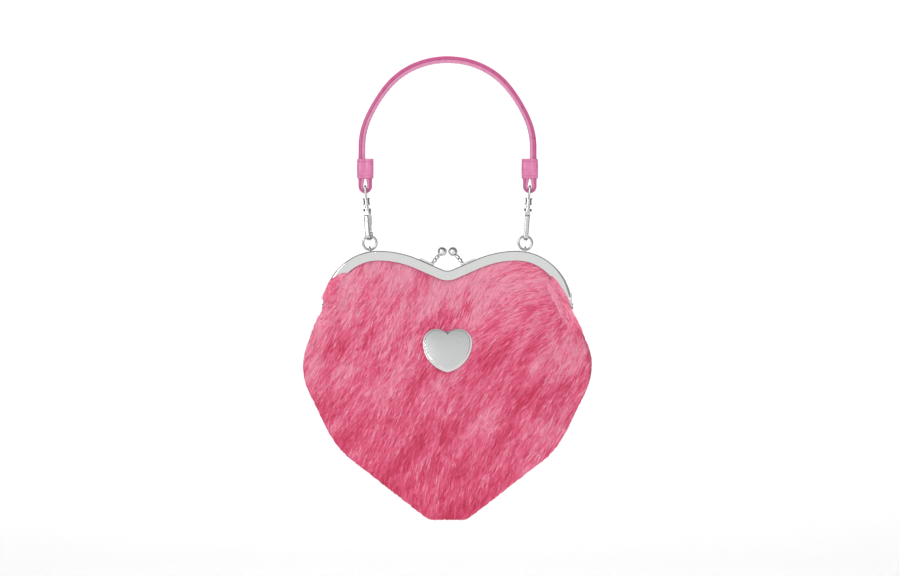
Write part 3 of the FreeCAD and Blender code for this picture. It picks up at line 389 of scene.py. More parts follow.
def uncovered(root, frame_half):
    """Whether each root is clear of the half of the frame that covers the edge of its panel."""
    cover = searched([nodes[frame_half].data])
    out = Vector((0, -1 if frame_half == "front_frame" else 1, 0))
    return [cover.ray_cast(Vector(p) - out * MM, out, FRAME_DEPTH)[0] is None for p in root]


def along_skin(ways, normal):
    """The part of each way that lies in the skin."""
    return ways - normal * np.sum(ways * normal, axis=1)[:, None]


def laid(points, height, rng, ground):
    """Points set down on the nearest ground at a height above it, and the ground's normals there.

    Past an edge of the skin they hang over a little, and more beside the hinges, where hair covers the ends
    of the frame.
    """
    found = [ground.find_nearest(p)[:2] for p in points]
    place = np.array([p for p, _ in found])
    normal = np.array([n for _, n in found])
    beyond = along_skin(points - place, normal)
    reach = np.linalg.norm(beyond, axis=1)
    by_hinge = np.exp(-((place[:, 2] - HINGE_Z) / HINGE_REACH) ** 2) * (np.abs(place[:, 0]) > HINGE_INNER)
    allowed = EDGE_OVERHANG + EDGE_WISP * rng.random(len(points)) ** 4 + HINGE_OVERHANG * by_hinge
    beyond *= np.minimum(1, allowed / np.maximum(reach, 1e-9))[:, None]
    return place + beyond + normal * height[:, None], normal


# The hair's UV map holds a lock's shade across and the place along the lock upwards
hair, tree, shader = new_material("dyed_hair", Roughness=0.45, Specular_IOR_Level=0.35, Sheen_Weight=0.1)
shade = add(tree, "SeparateXYZ", {"Vector": add(tree, "UVMap", uv_map="OFBake").outputs["UV"]})
tone = ramp(tree, shade.outputs["X"], [(0.0, HAIR_DEEP), (0.5, HAIR_MID), (1.0, HAIR_PALE)])
depth = ramp(tree, shade.outputs["Y"], [(0.0, HAIR_ROOT), (0.4, HAIR_SHAFT), (1.0, (1, 1, 1))])
dyed = add(tree, "Mix", {"Factor": 1.0, "A": tone, "B": depth}, data_type="RGBA", blend_type="MULTIPLY")
tree.links.new(dyed.outputs["Result"], shader.inputs["Base Color"])
SHADE_HALF = 0.006
SHADE_ENDS = (0.02, 0.98)
ALONG_LOCK = (0.02, 0.02, 0.5, 0.5, 0.98)
MIDDLE_WIDTH = 0.8
TIP_LIFT = 0.8


def locks(name, base, middle, tip, half, tone):
    """One piece of tapered strips, each from two points at its root over two in its middle to its tip."""
    count = len(tone)
    waist = half * MIDDLE_WIDTH
    points = np.stack([base - half, base + half, middle - waist, middle + waist, tip], axis=1).reshape(-1, 3)
    strip = np.array([(0, 1, 3), (0, 3, 2), (2, 3, 4)])
    faces = (np.arange(count)[:, None, None] * 5 + strip[None]).reshape(-1, 3)
    mesh = bpy.data.meshes.new(name)
    mesh.from_pydata(points, [], faces)
    low, high = tone - SHADE_HALF, tone + SHADE_HALF
    across = np.stack([low, high, low, high, tone], axis=1).reshape(-1)
    corner = np.stack([across, np.tile(ALONG_LOCK, count)], axis=1)[faces.reshape(-1)]
    mesh.uv_layers.new(name="OFBake").uv.foreach_set("vector", corner.astype(np.float32).ravel())
    mesh.shade_smooth()
    mesh.materials.append(hair)
    piece = placed(name, mesh)
    return piece


def grow_hair(name, kind, skin, count, facing, combing, tone_of, seed, frame_half=None, ground=whole_skin,
              plane=ACROSS_AND_UP, kept=None):
    """Many locks of a kind on a skin, with none under the half of the frame that covers its edge."""
    rng = np.random.default_rng(seed)
    root, normal = sampled(skin, count, facing, rng)
    if kept:
        stays = kept(root)
        root, normal = root[stays], normal[stays]
    if frame_half:
        bare = uncovered(root, frame_half)
        root, normal = root[bare], normal[bare]
    count = len(root)
    way = along_skin(combing(root) + rng.normal(0, kind["stray"], (count, 3)), normal)
    way /= np.linalg.norm(way, axis=1)[:, None]
    long = kind["length"] * rng.uniform(*LENGTH_SPREAD, count)
    high = kind["lift"] * rng.uniform(*LIFT_SPREAD, count)

    # Every lock leans towards the nearest leader of a tuft
    tufts = rng.choice(count, count // LOCKS_PER_TUFT, replace=False)
    finder = KDTree(len(tufts))
    for i, t in enumerate(tufts):
        finder.insert(root[t], i)
    finder.balance()
    leader = tufts[[finder.find(p)[1] for p in root]]
    middle, up = laid(root + way * (long * 0.5)[:, None], high, rng, ground)
    tip, _ = laid(middle + along_skin(way, up) * (long * 0.5)[:, None], high * TIP_LIFT, rng, ground)
    lean = middle[leader] - root[leader] + root - middle + (root[leader] - root) * 0.5
    middle += lean * MIDDLE_PULL
    tip += (tip[leader] - tip) * TUFT_PULL

    turn = rng.uniform(*TURN_SPREAD, count)
    flat = np.cross(normal, way) * np.cos(turn)[:, None] + normal * np.sin(turn)[:, None]
    half = flat * (kind["width"] / 2 * rng.uniform(*WIDTH_SPREAD, count))[:, None]
    fine = streaked(root, combing, FINE_STREAK, plane)
    broad = streaked(root + BROAD_SHIFT, combing, BROAD_STREAK, plane)
    tone = tone_of(root, fine, broad) + kind["contrast"] * rng.normal(size=count)
    tone += TUFT_CONTRAST * rng.normal(size=count)[leader]
    return locks(name, root - normal * ROOT_SUNK, middle, tip, half, np.clip(tone, *SHADE_ENDS))


# Shades from deep, 0, to pale, 1: at the tip, what the rise to the frame and its crest add, which paint the
# shade of light from above, and the streaks
FRONT_TONE = {"tip": 0.28, "rise": 0.30, "crest": 0.32, "fine": 1.05, "broad": 1.0}
PLAIN_TONE = {"tip": 0.30, "rise": 0.30, "crest": 0.0, "fine": 0.9, "broad": 0.9}
TIP_Z = -315
COAT_HEIGHT = 170

# Pale patches of the front, painted highlights, in millimetres: place across and up, half width, half height,
# and what they add
PAINTED_HIGHLIGHT_PATCHES = ((4, -150, 38, 16, 0.18), (87, -196, 9, 17, 0.2))


def coat_tone(shades, root, fine, broad):
    """Shades in long streaks, deeper towards the tip, a painted shade of light from above."""
    up = (root[:, 2] / MM - TIP_Z) / COAT_HEIGHT
    level = shades["tip"] + shades["rise"] * up + shades["crest"] * up**4
    return level + shades["fine"] * (fine - 0.5) + shades["broad"] * (broad - 0.5)


def front_tone(root, fine, broad):
    """The front is paler under the middle of the frame and beside its right edge, in painted highlights."""
    tone = coat_tone(FRONT_TONE, root, fine, broad)
    for x, z, half_wide, half_high, gain in PAINTED_HIGHLIGHT_PATCHES:
        gap = ((root[:, 0] / MM - x) / half_wide) ** 2 + ((root[:, 2] / MM - z) / half_high) ** 2
        tone += gain * np.exp(-gap)
    return tone


def plain_tone(root, fine, broad):
    """The back and the gussets have streaks alone."""
    return coat_tone(PLAIN_TONE, root, fine, broad)


# Layers of the coat: name, kind of lock, share of the number of locks, and seed
COATS = (("under_coat", UNDER_COAT, 1.0, 11), ("guard_hair", GUARD_HAIR, GUARD_SHARE, 21))
for layer, kind, share, seed in COATS:
    coat = grow_hair("front_" + layer, kind, front_hide, round(PANEL_LOCKS * share),
                     lambda n, p: n[:, 1] < -OUTWARD, combed_front, front_tone, seed, "front_frame")
    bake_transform(coat)
    coat = grow_hair("back_" + layer, kind, skins["back"], round(PANEL_LOCKS * share),
                     lambda n, p: n[:, 1] > OUTWARD, combed_back, plain_tone, seed + 1, "back_frame")
    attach(coat, "bag")
    for name, side in (("left", -1), ("right", 1)):
        coat = grow_hair(f"{name}_{layer}", kind, skins[name], round(GUSSET_LOCKS * share),
                         lambda n, p: (n[:, 0] * side > OUTWARD) | (n[:, 2] < UNDERSIDE),
                         combed_gusset, plain_tone, seed + 3 + side, plane=ALONG_AND_UP)
        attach(coat, "bag")


# Hair over the frame's arms
# Beside the hinges the coat isn't trimmed. It sweeps out over the ends of the front frame and hides most of
# them: longer tufts grow from the panel along each arm, and short wisps lie on the arm itself.
WISP = {"length": 6.5 * MM, "width": 0.6 * MM, "lift": 0.7 * MM, "stray": 0.16, "contrast": 0.2}
TUFT_LOCKS = 4600
WISP_TRIES = 20000
ARM_PALER = 0.16
FLANGE_Y = -8.2 * MM
FACES_FRONT = -0.9

# The strip that the tufts grow on, in millimetres: its top on the left and on the right, its foot, and its
# inner side by a place across, a height there, and how far it moves out for each step down
STRIP_TOP_LEFT, STRIP_TOP_RIGHT = -145, -149
STRIP_FOOT = -180
STRIP_INNER_X, STRIP_INNER_Z, STRIP_SPREAD = 66, -150, 0.485

# The parts of the arms that wisps hide, the whole left end and the inner side of the right one: side, top,
# and the line that they stay under, by its place across at one height and its slope
ARM_COVERS = ((-1, -145, -70.9, 0.57), (1, -147, 70, -1.45))
COVER_Z = -144.3
COVER_INNER = 60

# Ways that the hair sweeps from the panel over each arm, down and outwards
LEFT_SWEEP = (-0.7, 0.0, -0.71)
RIGHT_SWEEP = (0.5, 0.0, -0.87)
arm_ground = searched([skin.data for skin in skins.values()] + [nodes["front_frame"].data])


def beside_arm(normal, place):
    """The strip of the front along the inner edge of each arm, and below its end."""
    x, z = place[:, 0] / MM, place[:, 2] / MM
    top = np.where(x < 0, STRIP_TOP_LEFT, STRIP_TOP_RIGHT)
    inner = STRIP_INNER_X + STRIP_SPREAD * (STRIP_INNER_Z - z)
    return (normal[:, 1] < -OUTWARD) & (z < top) & (z > STRIP_FOOT) & (np.abs(x) > inner)


def flange_face(normal, place):
    """The flat front of the frame's flange."""
    return (normal[:, 1] < FACES_FRONT) & (place[:, 1] < FLANGE_Y)


def over_arm(root):
    """Whether each place lies on a part of the arms that hair hides."""
    x, z = root[:, 0] / MM, root[:, 2] / MM
    hidden = np.zeros(len(root), bool)
    for side, top, line_x, slope in ARM_COVERS:
        hidden |= (x * side > COVER_INNER) & (z < top) & (z < COVER_Z + slope * (x - line_x))
    return hidden


def arm_tone(root, fine, broad):
    """Hair that stands over the metal is paler than the front below it."""
    return front_tone(root, fine, broad) + ARM_PALER


def combed_arm(points):
    """The way that hair sweeps over an arm."""
    return np.where(points[:, :1] < 0, LEFT_SWEEP, RIGHT_SWEEP)


tufts = grow_hair("hinge_tufts", GUARD_HAIR, front_hide, TUFT_LOCKS, beside_arm, combed_arm, arm_tone, 31,
                  "front_frame", ground=arm_ground)
wisps = grow_hair("arm_wisps", WISP, nodes["front_frame"], WISP_TRIES, flange_face, combed_arm, arm_tone, 37,
                  ground=arm_ground, kept=over_arm)
for coat in (tufts, wisps):
    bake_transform(coat)


# Mouth frame, hinges, clasp, rings and hooks
# Pressed and cast steel, polished and bright plated. Handling leaves a faint haze and hairline scratches.
# The rings and hooks are drawn in darker copies of the plated steel, a painted shade that greys them, and the
# clasp balls in a lighter copy, a painted highlight. The gate springs are bare spring steel.
STEEL = (0.80, 0.81, 0.80)
# The darker copies of the plate for the hooks and rings are painted shade, and the lighter one for the balls is
# a painted highlight
SHADED_STEEL = (0.70, 0.71, 0.71)
SHADED_RING_STEEL = (0.56, 0.57, 0.57)
LIT_BALL_STEEL = (0.84, 0.85, 0.84)
SPRING_STEEL = (0.42, 0.44, 0.47)
SCRATCH_TURN = (0.4, 0.9, 0.2)
SCRATCH_SCALE = (260, 4200, 3100)
SCRATCH_DEPTH = 0.02 * MM
FOLD_ANGLE = math.radians(60)
FLAT_ANGLE = math.radians(1)


def new_group(name, inputs, outputs):
    """A shader node group with named inputs and outputs, the sockets inside that give and take them."""
    group = bpy.data.node_groups.new(name, "ShaderNodeTree")
    for in_out, sockets in (("INPUT", inputs), ("OUTPUT", outputs)):
        for socket, kind in sockets.items():
            group.interface.new_socket(name=socket, in_out=in_out, socket_type="NodeSocket" + kind)
    return group, group.nodes.new("NodeGroupInput").outputs, group.nodes.new("NodeGroupOutput").inputs


polish, given, taken = new_group("handled_polish", {"Low": "Float", "High": "Float", "Scale": "Float"},
                                 {"Roughness": "Float", "Height": "Float"})
place = add(polish, "TexCoord").outputs["Object"]
cloud = add(polish, "TexNoise", {"Vector": place, "Scale": given["Scale"], "Detail": 5.0, "Roughness": 0.65})
long_way = add(polish, "Mapping", {"Vector": place, "Rotation": SCRATCH_TURN, "Scale": SCRATCH_SCALE})
hairlines = add(polish, "TexNoise", {"Vector": long_way.outputs["Vector"], "Scale": 1.0, "Detail": 2.0})
haze = add(polish, "MapRange", {"Value": cloud.outputs["Fac"], "From Min": 0.3, "From Max": 0.7,
                                "To Min": given["Low"], "To Max": given["High"]})
polish.links.new(haze.outputs["Result"], taken["Roughness"])
polish.links.new(hairlines.outputs["Fac"], taken["Height"])


def steel(name, colour, low, high, scale):
    """Plated steel, its haze between a low and a high roughness in patches of a scale."""
    material, tree, shader = new_material(name, Base_Color=(*colour, 1), Metallic=1.0)
    handled = add(tree, "Group", {"Low": low, "High": high, "Scale": scale}, node_tree=polish)
    tree.links.new(handled.outputs["Roughness"], shader.inputs["Roughness"])
    bump(tree, shader, handled.outputs["Height"], 0.02, SCRATCH_DEPTH)
    return material


def finish_nodes(material, names):
    """Gives CAD nodes that keep their shape a finish."""
    for name in names:
        nodes[name].data.materials.clear()
        nodes[name].data.materials.append(material)


def eased_copy(node, ease, longest=math.inf):
    """A copy of a CAD node with its sharp edges, up to a length, rounded off."""
    bm = merged_copy(node)
    bmesh.ops.dissolve_limit(bm, angle_limit=FLAT_ANGLE, verts=bm.verts, edges=bm.edges)
    folds = [e for e in bm.edges if len(e.link_faces) == 2 and e.calc_face_angle() > FOLD_ANGLE]
    folds = [e for e in folds if e.calc_length() < longest]
    bmesh.ops.bevel(bm, geom=folds, offset=ease, segments=3, profile=0.5, affect="EDGES", material=-1,
                    clamp_overlap=True)
    return bm


bright_plate = steel("bright_plate", STEEL, 0.07, 0.19, 260.0)
shaded_hook_plate = steel("shaded_hook_plate", SHADED_STEEL, 0.10, 0.22, 380.0)
shaded_ring_plate = steel("shaded_ring_plate", SHADED_RING_STEEL, 0.12, 0.24, 420.0)
lit_ball_plate = steel("lit_ball_plate", LIT_BALL_STEEL, 0.22, 0.34, 420.0)
spring_steel = steel("spring_steel", SPRING_STEEL, 0.25, 0.4, 500.0)
hook_parts = ("hook_eye", "hook_claw", "hook_gate", "gate_pin")
finish_nodes(bright_plate, ("left_hinge_rivet", "right_hinge_rivet", "front_clasp_stem", "back_clasp_stem",
                            "backing_plate"))
finish_nodes(shaded_hook_plate, [f"{side}_{part}" for side in SIDES for part in hook_parts])
finish_nodes(shaded_ring_plate, [f"{side}_{part}" for side in SIDES for part in ("ring", "ring_lug")])
finish_nodes(lit_ball_plate, ("front_clasp_ball", "back_clasp_ball"))
finish_nodes(spring_steel, ("left_gate_spring", "right_gate_spring"))

# The press leaves a rolled edge along both rims of each half of the frame
RIM_EASE = 0.35 * MM
for name, body in (("front_frame", "front_half"), ("back_frame", "bag")):
    channel = new_object(name + "_channel", eased_copy(name, RIM_EASE), bright_plate, math.radians(35))
    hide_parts(name)
    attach(channel, body)


# Wedge cords
# Kraft paper twisted into a cord. It is rammed into each channel with a blunt blade and holds the hide and
# the lining there by friction.
KRAFT_DARK = (0.34, 0.24, 0.15)
KRAFT_LIGHT = (0.52, 0.40, 0.27)
KRAFT_RELIEF = 0.2 * MM
kraft, tree, shader = new_material("kraft_cord", Roughness=0.9)
place = add(tree, "TexCoord").outputs["Object"]
twist = add(tree, "TexWave", {"Vector": place, "Scale": 420.0, "Distortion": 1.5}, bands_direction="DIAGONAL")
twisted = ramp(tree, twist.outputs["Fac"], [(0.2, KRAFT_DARK), (0.8, KRAFT_LIGHT)])
tree.links.new(twisted, shader.inputs["Base Color"])
bump(tree, shader, twist.outputs["Fac"], 0.7, KRAFT_RELIEF)
finish_nodes(kraft, ("front_frame_cord", "back_frame_cord"))


# Ornament
# A plain stepped heart, die cast with eased edges and held by prongs through the hide.
# Its rim is bright plated like the frame, and its raised field is satin, in the darker steel of the hooks, a
# painted shade.
ORNAMENT_EASE = 0.3 * MM
LONGEST_EASED = 4 * MM
shaded_satin_plate = steel("shaded_satin_plate", SHADED_STEEL, 0.24, 0.36, 420.0)
bm = eased_copy("plaque", ORNAMENT_EASE, LONGEST_EASED)
ornament = new_object("plain_heart", bm, bright_plate, math.radians(35))
ornament.data.materials.append(shaded_satin_plate)
largest = sorted(ornament.data.polygons, key=lambda p: p.area)[-2:]
field = min(largest, key=lambda p: p.center.y)
field.material_index = 1
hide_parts("plaque")
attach(ornament, "bag")


# Handle
# Two layers of smooth calf turned and glued edge to edge, folded round each hook's eye.
# The outer layer is deeper pink than the inner one, and a seam runs along each edge between them.
ARCH_RADIUS = 57.0 * MM
ARCH_Z = -57.0 * MM
ARCH_STEPS = 56
STRAP_THICK = 4.5 * MM
STRAP_HALF = 4.2 * MM
EYE_X = 56.9 * MM
EYE_Z = -85.5 * MM
EYE_STEPS = 20
FOLD_THICK = 3.1 * MM
SPLAY_Z = -78.0 * MM
TAIL_Z = -67.4 * MM
ARCH_PULL = 0.045
SHOULDER_Z = -22.0 * MM
SHOULDER_SPREAD = 20.0 * MM
STRAP_OUTER = (0.60, 0.095, 0.27)
STRAP_INNER = (0.74, 0.27, 0.46)
STRAP_SEAM = (0.40, 0.05, 0.16)
CALF_DULL = (0.88, 0.86, 0.88)
CALF_GLOSS = (0.24, 0.38)
CALF_RELIEF = 0.05 * MM

# Half of the strap's section, from the middle of its inner face to that of its outer face, in shares of its
# half width and its thickness
STRAP_SECTION = ((0.0, 0.02), (0.5, 0.0), (0.8, 0.02), (0.93, 0.09), (1.0, 0.24), (1.0, 0.4), (0.985, 0.46),
                 (0.93, 0.5), (0.985, 0.54), (1.0, 0.6), (1.0, 0.76), (0.93, 0.91), (0.8, 0.98), (0.5, 1.03),
                 (0.0, 1.06))

# Calf has a fine grain, and a mottle that dulls its colour and its gloss
grain, given, taken = new_group("calf_grain", {"Low": "Float", "High": "Float"},
                                {"Tint": "Color", "Roughness": "Float", "Height": "Float"})
place = add(grain, "TexCoord").outputs["Object"]
pores = add(grain, "TexVoronoi", {"Vector": place, "Scale": 1900.0}, feature="DISTANCE_TO_EDGE")
mottle = add(grain, "TexNoise", {"Vector": place, "Scale": 220.0, "Detail": 4.0}).outputs["Fac"]
gloss = add(grain, "MapRange", {"Value": mottle, "From Min": 0.3, "From Max": 0.7,
                                "To Min": given["Low"], "To Max": given["High"]})
grain.links.new(ramp(grain, mottle, [(0.3, CALF_DULL), (0.7, (1.0, 1.0, 1.0))]), taken["Tint"])
grain.links.new(gloss.outputs["Result"], taken["Roughness"])
grain.links.new(pores.outputs["Distance"], taken["Height"])


def calf(name, stops):
    """Smooth calf, its colour set by the layer of the leather that each point of a piece carries."""
    material, tree, shader = new_material(name, Specular_IOR_Level=0.5, Coat_Weight=0.4, Coat_Roughness=0.14)
    colour = ramp(tree, add(tree, "Attribute", attribute_name="layer").outputs["Fac"], stops)
    grained = add(tree, "Group", {"Low": CALF_GLOSS[0], "High": CALF_GLOSS[1]}, node_tree=grain)
    dyed = add(tree, "Mix", {"Factor": 1.0, "A": colour, "B": grained.outputs["Tint"]},
               data_type="RGBA", blend_type="MULTIPLY")
    tree.links.new(dyed.outputs["Result"], shader.inputs["Base Color"])
    tree.links.new(grained.outputs["Roughness"], shader.inputs["Roughness"])
    bump(tree, shader, grained.outputs["Height"], 0.25, CALF_RELIEF)
    return material


def spun(bm, end, centre, axis, angle, steps):
    """Carries an open end round an axis, and gives its new end."""
    made = bmesh.ops.spin(bm, geom=end, cent=centre, axis=axis, angle=angle, steps=steps)["geom_last"]
    return picked(made, bmesh.types.BMEdge)


def extruded(bm, end, vec):
    """Draws an open end out along a vector, and gives its new end and that end's vertices."""
    made = bmesh.ops.extrude_edge_only(bm, edges=end)["geom"]
    fresh = picked(made, bmesh.types.BMVert)
    bmesh.ops.translate(bm, vec=vec, verts=fresh)
    return picked(made, bmesh.types.BMEdge), fresh


def drawn(bm, end, z, thin=1.0, about=0.0):
    """Carries the strap's open end straight to a height, thinned about a place across."""
    end, fresh = extruded(bm, end, (0, 0, z - end[0].verts[0].co.z))
    for vert in fresh:
        vert.co.x = about + (vert.co.x - about) * thin
    return end


def drawn_narrow(bm):
    """The weight of the purse pulls the arch a little narrower than a half circle, most at its shoulders."""
    for vert in bm.verts:
        vert.co.x *= 1 - ARCH_PULL * math.exp(-(((vert.co.z - SHOULDER_Z) / SHOULDER_SPREAD) ** 2))


strap_layers = [(0.0, STRAP_INNER), (0.44, STRAP_INNER), (0.49, STRAP_SEAM), (0.55, STRAP_OUTER),
                (1.0, STRAP_OUTER)]
strap_calf = calf("strap_calf", strap_layers)
bm = bmesh.new()
layer = bm.verts.layers.float.new("layer")
loop = []
for y, h in STRAP_SECTION + tuple((-y, h) for y, h in reversed(STRAP_SECTION[1:-1])):
    vert = bm.verts.new((0, y * STRAP_HALF, ARCH_Z + ARCH_RADIUS + h * STRAP_THICK))
    vert[layer] = h
    loop.append(vert)
end = [bm.edges.new((a, b)) for a, b in zip(loop, loop[1:] + loop[:1])]
far = ARCH_RADIUS + STRAP_THICK
near = 2 * EYE_X - far
thin = FOLD_THICK / STRAP_THICK
end = spun(bm, end, (0, 0, ARCH_Z), (0, 1, 0), math.pi / 2, ARCH_STEPS)
end = drawn(bm, end, SPLAY_Z)
end = drawn(bm, end, EYE_Z, thin, far)
end = spun(bm, end, (EYE_X, 0, EYE_Z), (0, 1, 0), math.pi, EYE_STEPS)
end = drawn(bm, end, SPLAY_Z, 1 / thin, near)
end = drawn(bm, end, TAIL_Z)
bmesh.ops.edgeloop_fill(bm, edges=end)
bmesh.ops.mirror(bm, geom=bm.verts[:] + bm.edges[:] + bm.faces[:], axis="X", merge_dist=MERGE)
bmesh.ops.remove_doubles(bm, verts=bm.verts, dist=MERGE)
bmesh.ops.recalc_face_normals(bm, faces=bm.faces)
drawn_narrow(bm)
put_in_order(bm)
strap = new_object("strap", bm, strap_calf, math.radians(60))
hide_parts("handle_strap")
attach(strap, "handle")


# Seam stitches
# Bonded thread that holds the strap's two layers, in small slanted stitches.
# One row runs inside each edge of both faces, from one end of the arch to the other.
STITCH_PINK = (0.72, 0.22, 0.40)
STITCH_PITCH = 3.0 * MM
STITCH_SIZE = (2.1 * MM, 0.55 * MM, 0.4 * MM)
STITCH_SLANT = 0.12
STITCH_EDGE = 0.74
STITCH_RISES = (STRAP_THICK - 0.1 * MM, 0.12 * MM)
THREAD_RELIEF = 0.05 * MM
thread, tree, shader = new_material("seam_thread", Base_Color=(*STITCH_PINK, 1), Roughness=0.6)
place = add(tree, "TexCoord").outputs["Object"]
ply = add(tree, "TexWave", {"Vector": place, "Scale": 900.0}, bands_direction="DIAGONAL")
bump(tree, shader, ply.outputs["Fac"], 0.5, THREAD_RELIEF)
bm = bmesh.new()
steps = round(math.pi * ARCH_RADIUS / STITCH_PITCH)
for rise in STITCH_RISES:
    for edge in (-STITCH_EDGE, STITCH_EDGE):
        stitch = bmesh.ops.create_uvsphere(bm, u_segments=6, v_segments=4, radius=0.5)["verts"]
        bmesh.ops.scale(bm, vec=STITCH_SIZE, verts=stitch)
        bmesh.ops.rotate(bm, cent=(0, 0, 0), matrix=Matrix.Rotation(STITCH_SLANT, 3, "Z"), verts=stitch)
        bmesh.ops.translate(bm, vec=(0, edge * STRAP_HALF, ARCH_Z + ARCH_RADIUS + rise), verts=stitch)
        bmesh.ops.rotate(bm, cent=(0, 0, ARCH_Z), matrix=Matrix.Rotation(-math.pi / 2, 3, "Y"), verts=stitch)
        edges = list(dict.fromkeys(e for v in stitch for e in v.link_edges))
        faces = list(dict.fromkeys(f for v in stitch for f in v.link_faces))
        bmesh.ops.spin(bm, geom=stitch + edges + faces, cent=(0, 0, ARCH_Z), axis=(0, 1, 0), angle=math.pi,
                       steps=steps, use_duplicate=True)
drawn_narrow(bm)
put_in_order(bm)
stitches = new_object("strap_stitches", bm, thread)
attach(stitches, "handle")


# Keepers
# A band of the same calf wrapped round both layers of the strap above each fold, and pulled tight over them.
# A tooled line runs near each rim.
KEEPER_TOP = -66.4 * MM
KEEPER_HALF_X = 5.7 * MM
KEEPER_HALF_Y = 5.3 * MM
KEEPER_WALL = 0.8 * MM
KEEPER_CORNER = 3.0 * MM
KEEPER_HOLLOW = 0.5 * MM
KEEPER_PINK = (0.76, 0.22, 0.43)
KEEPER_RIM = (0.50, 0.075, 0.22)
PLAIN_LAYER = 0.3
TOOLED_LAYER = 1.0
TOOLED_IN = -0.1
ON_LINE = 1e-7

# Down a keeper in millimetres, and how far it stands out there
KEEPER_STEPS = ((0.0, -0.25), (0.35, 0.0), (1.5, 0.05), (1.75, -0.14), (2.0, 0.06), (6.8, 0.16), (11.6, 0.06),
                (11.85, -0.14), (12.1, 0.05), (13.25, 0.0), (13.6, -0.25))
keeper_growth = {round(down, 2): grow for down, grow in KEEPER_STEPS}
keeper_calf = calf("keeper_calf", [(0.0, KEEPER_PINK), (0.5, KEEPER_PINK), (1.0, KEEPER_RIM)])
for side_name, side in (("left", -1), ("right", 1)):
    bm = bmesh.new()
    layer = bm.verts.layers.float.new("layer")
    outline = bmesh.ops.create_grid(bm, x_segments=1, y_segments=1, size=1.0)["verts"]
    bmesh.ops.scale(bm, vec=(KEEPER_HALF_X, KEEPER_HALF_Y, 1), verts=outline)
    bmesh.ops.bevel(bm, geom=outline, offset=KEEPER_CORNER, segments=8, profile=0.5, affect="VERTICES",
                    material=-1)
    bmesh.ops.delete(bm, geom=bm.faces[:], context="FACES_ONLY")
    faces_across = [e for e in bm.edges if abs(e.verts[0].co.y - e.verts[1].co.y) < ON_LINE]
    bmesh.ops.subdivide_edges(bm, edges=faces_across, cuts=15)
    for vert in bm.verts:
        if abs(abs(vert.co.y) - KEEPER_HALF_Y) < ON_LINE:
            across = vert.co.x / (KEEPER_HALF_X - KEEPER_CORNER)
            vert.co.y -= math.copysign(KEEPER_HOLLOW * math.cos(math.pi * across / 2) ** 2, vert.co.y)
    rim = bm.edges[:]
    for (before, _), (down, _) in zip(KEEPER_STEPS, KEEPER_STEPS[1:]):
        rim, _ = extruded(bm, rim, (0, 0, (before - down) * MM))
    for vert in bm.verts:
        grow = keeper_growth[round(-vert.co.z / MM, 2)]
        vert[layer] = TOOLED_LAYER if grow < TOOLED_IN else PLAIN_LAYER
        vert.co += vert.co.xy.normalized().to_3d() * grow * MM
    bmesh.ops.recalc_face_normals(bm, faces=bm.faces)
    bmesh.ops.solidify(bm, geom=bm.faces[:], thickness=KEEPER_WALL)
    bmesh.ops.translate(bm, vec=(side * EYE_X, 0, KEEPER_TOP), verts=bm.verts)
    put_in_order(bm)
    keeper = new_object(side_name + "_keeper_band", bm, keeper_calf, math.radians(50))
    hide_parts(side_name + "_keeper")
    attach(keeper, "handle")


# Studio
# The purse hangs by its handle in front of a white paper sweep. A tall soft box stands on the left, a wider
# one on the right, and a third lights the paper. A long lens looks straight at the purse.
FLOOR_Z = -0.42
SWEEP_HALF = 1.3
SWEEP_FRONT = -0.9
SWEEP_FLOOR = 1.9
SWEEP_BEND = 0.5
SWEEP_WALL = 1.2
SWEEP_STEPS = 24
SWEEP_WHITE = (0.94, 0.94, 0.94, 1)
bm = bmesh.new()
run = [bm.edges.new([bm.verts.new((x, SWEEP_FRONT, FLOOR_Z)) for x in (-SWEEP_HALF, SWEEP_HALF)])]
run, _ = extruded(bm, run, (0, SWEEP_FLOOR, 0))
bend_centre = (0, SWEEP_FRONT + SWEEP_FLOOR, FLOOR_Z + SWEEP_BEND)
run = spun(bm, run, bend_centre, (1, 0, 0), math.pi / 2, SWEEP_STEPS)
extruded(bm, run, (0, 0, SWEEP_WALL))
bmesh.ops.recalc_face_normals(bm, faces=bm.faces)
if max(bm.faces, key=lambda f: f.calc_center_median().z).normal.y > 0:
    bmesh.ops.reverse_faces(bm, faces=bm.faces)

# The paper is clear from its back, so the purse can be seen through it from behind
paper, tree, shader = new_material("sweep_paper", Base_Color=SWEEP_WHITE, Roughness=0.9)
seen_through = add(tree, "MixShader", {"Fac": add(tree, "NewGeometry").outputs["Backfacing"]})
tree.links.new(shader.outputs["BSDF"], seen_through.inputs[1])
tree.links.new(add(tree, "BsdfTransparent").outputs["BSDF"], seen_through.inputs[2])
tree.links.new(seen_through.outputs["Shader"], tree.nodes["Material Output"].inputs["Surface"])
sweep = new_object("studio_sweep", bm, paper)


def soft_box(name, place, aim, size, power):
    """A lamp behind a rectangle of cloth that faces a point."""
    light = bpy.data.lights.new(name, "AREA")
    light.shape = "RECTANGLE"
    light.size, light.size_y = size
    light.energy = power
    lamp = placed(name, light)
    lamp.location = place
    lamp.rotation_euler = (Vector(aim) - Vector(place)).to_track_quat("-Z", "Y").to_euler()
    return lamp


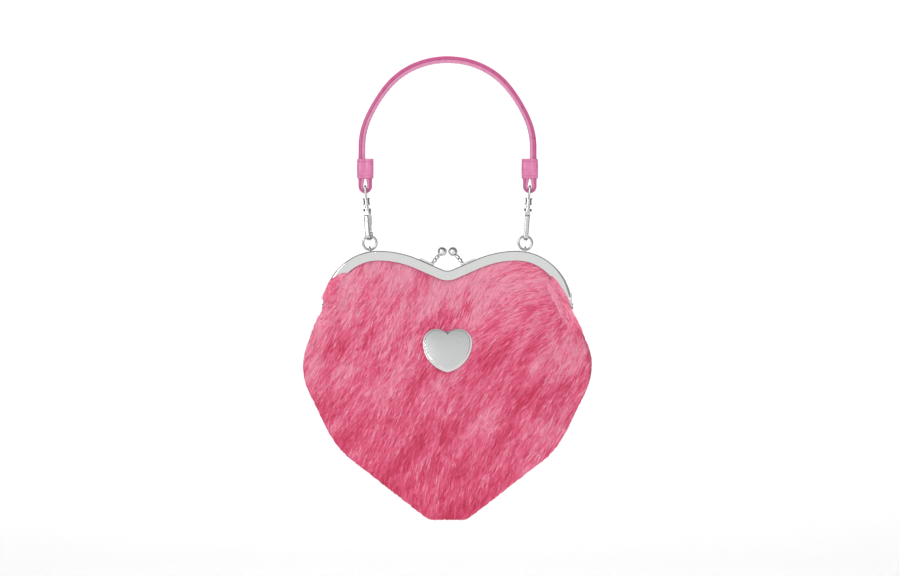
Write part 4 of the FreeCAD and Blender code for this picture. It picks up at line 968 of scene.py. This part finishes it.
PURSE_MIDDLE = (0, 0, -0.2)
PAPER_MIDDLE = (0, 1.1, -0.4)
soft_box("left_box", place=(-1.5, -1.9, 0.5), aim=PURSE_MIDDLE, size=(0.4, 1.5), power=17.7)
right_lamp = soft_box("right_box", place=(1.5, -1.9, 0.3), aim=PURSE_MIDDLE, size=(0.9, 1.4), power=12.6)
sweep_lamp = soft_box("sweep_box", place=(0, 0.2, 1.6), aim=PAPER_MIDDLE, size=(2.2, 0.6), power=26)
for lamp in (right_lamp, sweep_lamp):
    lamp.visible_glossy = False

# The air is bright towards the viewer, dim at the sides, which draws dark lines along the metal's edges, and
# half bright behind. Where nothing stands in front of it, it is plain white.
AIR = ((0.0, 0.85), (0.075, 0.85), (0.325, 0.06), (0.5, 0.06), (0.68, 0.5), (1.0, 0.5))
world = bpy.data.worlds.new("studio_air")
bpy.context.scene.world = world
world.use_nodes = True
tree = world.node_tree
way = add(tree, "SeparateXYZ", {"Vector": add(tree, "TexCoord").outputs["Generated"]})
depth = add(tree, "MapRange", {"Value": way.outputs["Y"], "From Min": -1.0, "From Max": 1.0})
air = ramp(tree, depth.outputs["Result"], [(place, (bright,) * 3) for place, bright in AIR], "EASE")
in_view = add(tree, "LightPath").outputs["Is Camera Ray"]
seen = add(tree, "Mix", {"Factor": in_view, "A": air, "B": (1, 1, 1, 1)}, data_type="RGBA")
tree.links.new(seen.outputs["Result"], tree.nodes["Background"].inputs["Color"])

PHOTO_MIDDLE = (1.7 * MM, -155.7 * MM)
PHOTO_WIDTH = 622.8 * MM
DISTANCE = 2.4
camera = bpy.data.cameras.new("long_lens")
camera.sensor_width = 36.0
camera.lens = camera.sensor_width * DISTANCE / PHOTO_WIDTH
camera.clip_end = 20
viewer = placed("long_lens", camera)
viewer.location = (PHOTO_MIDDLE[0], -DISTANCE, PHOTO_MIDDLE[1])
viewer.rotation_euler = (math.pi / 2, 0, 0)
bpy.context.scene.camera = viewer
bpy.context.scene.view_settings.view_transform = "Standard"
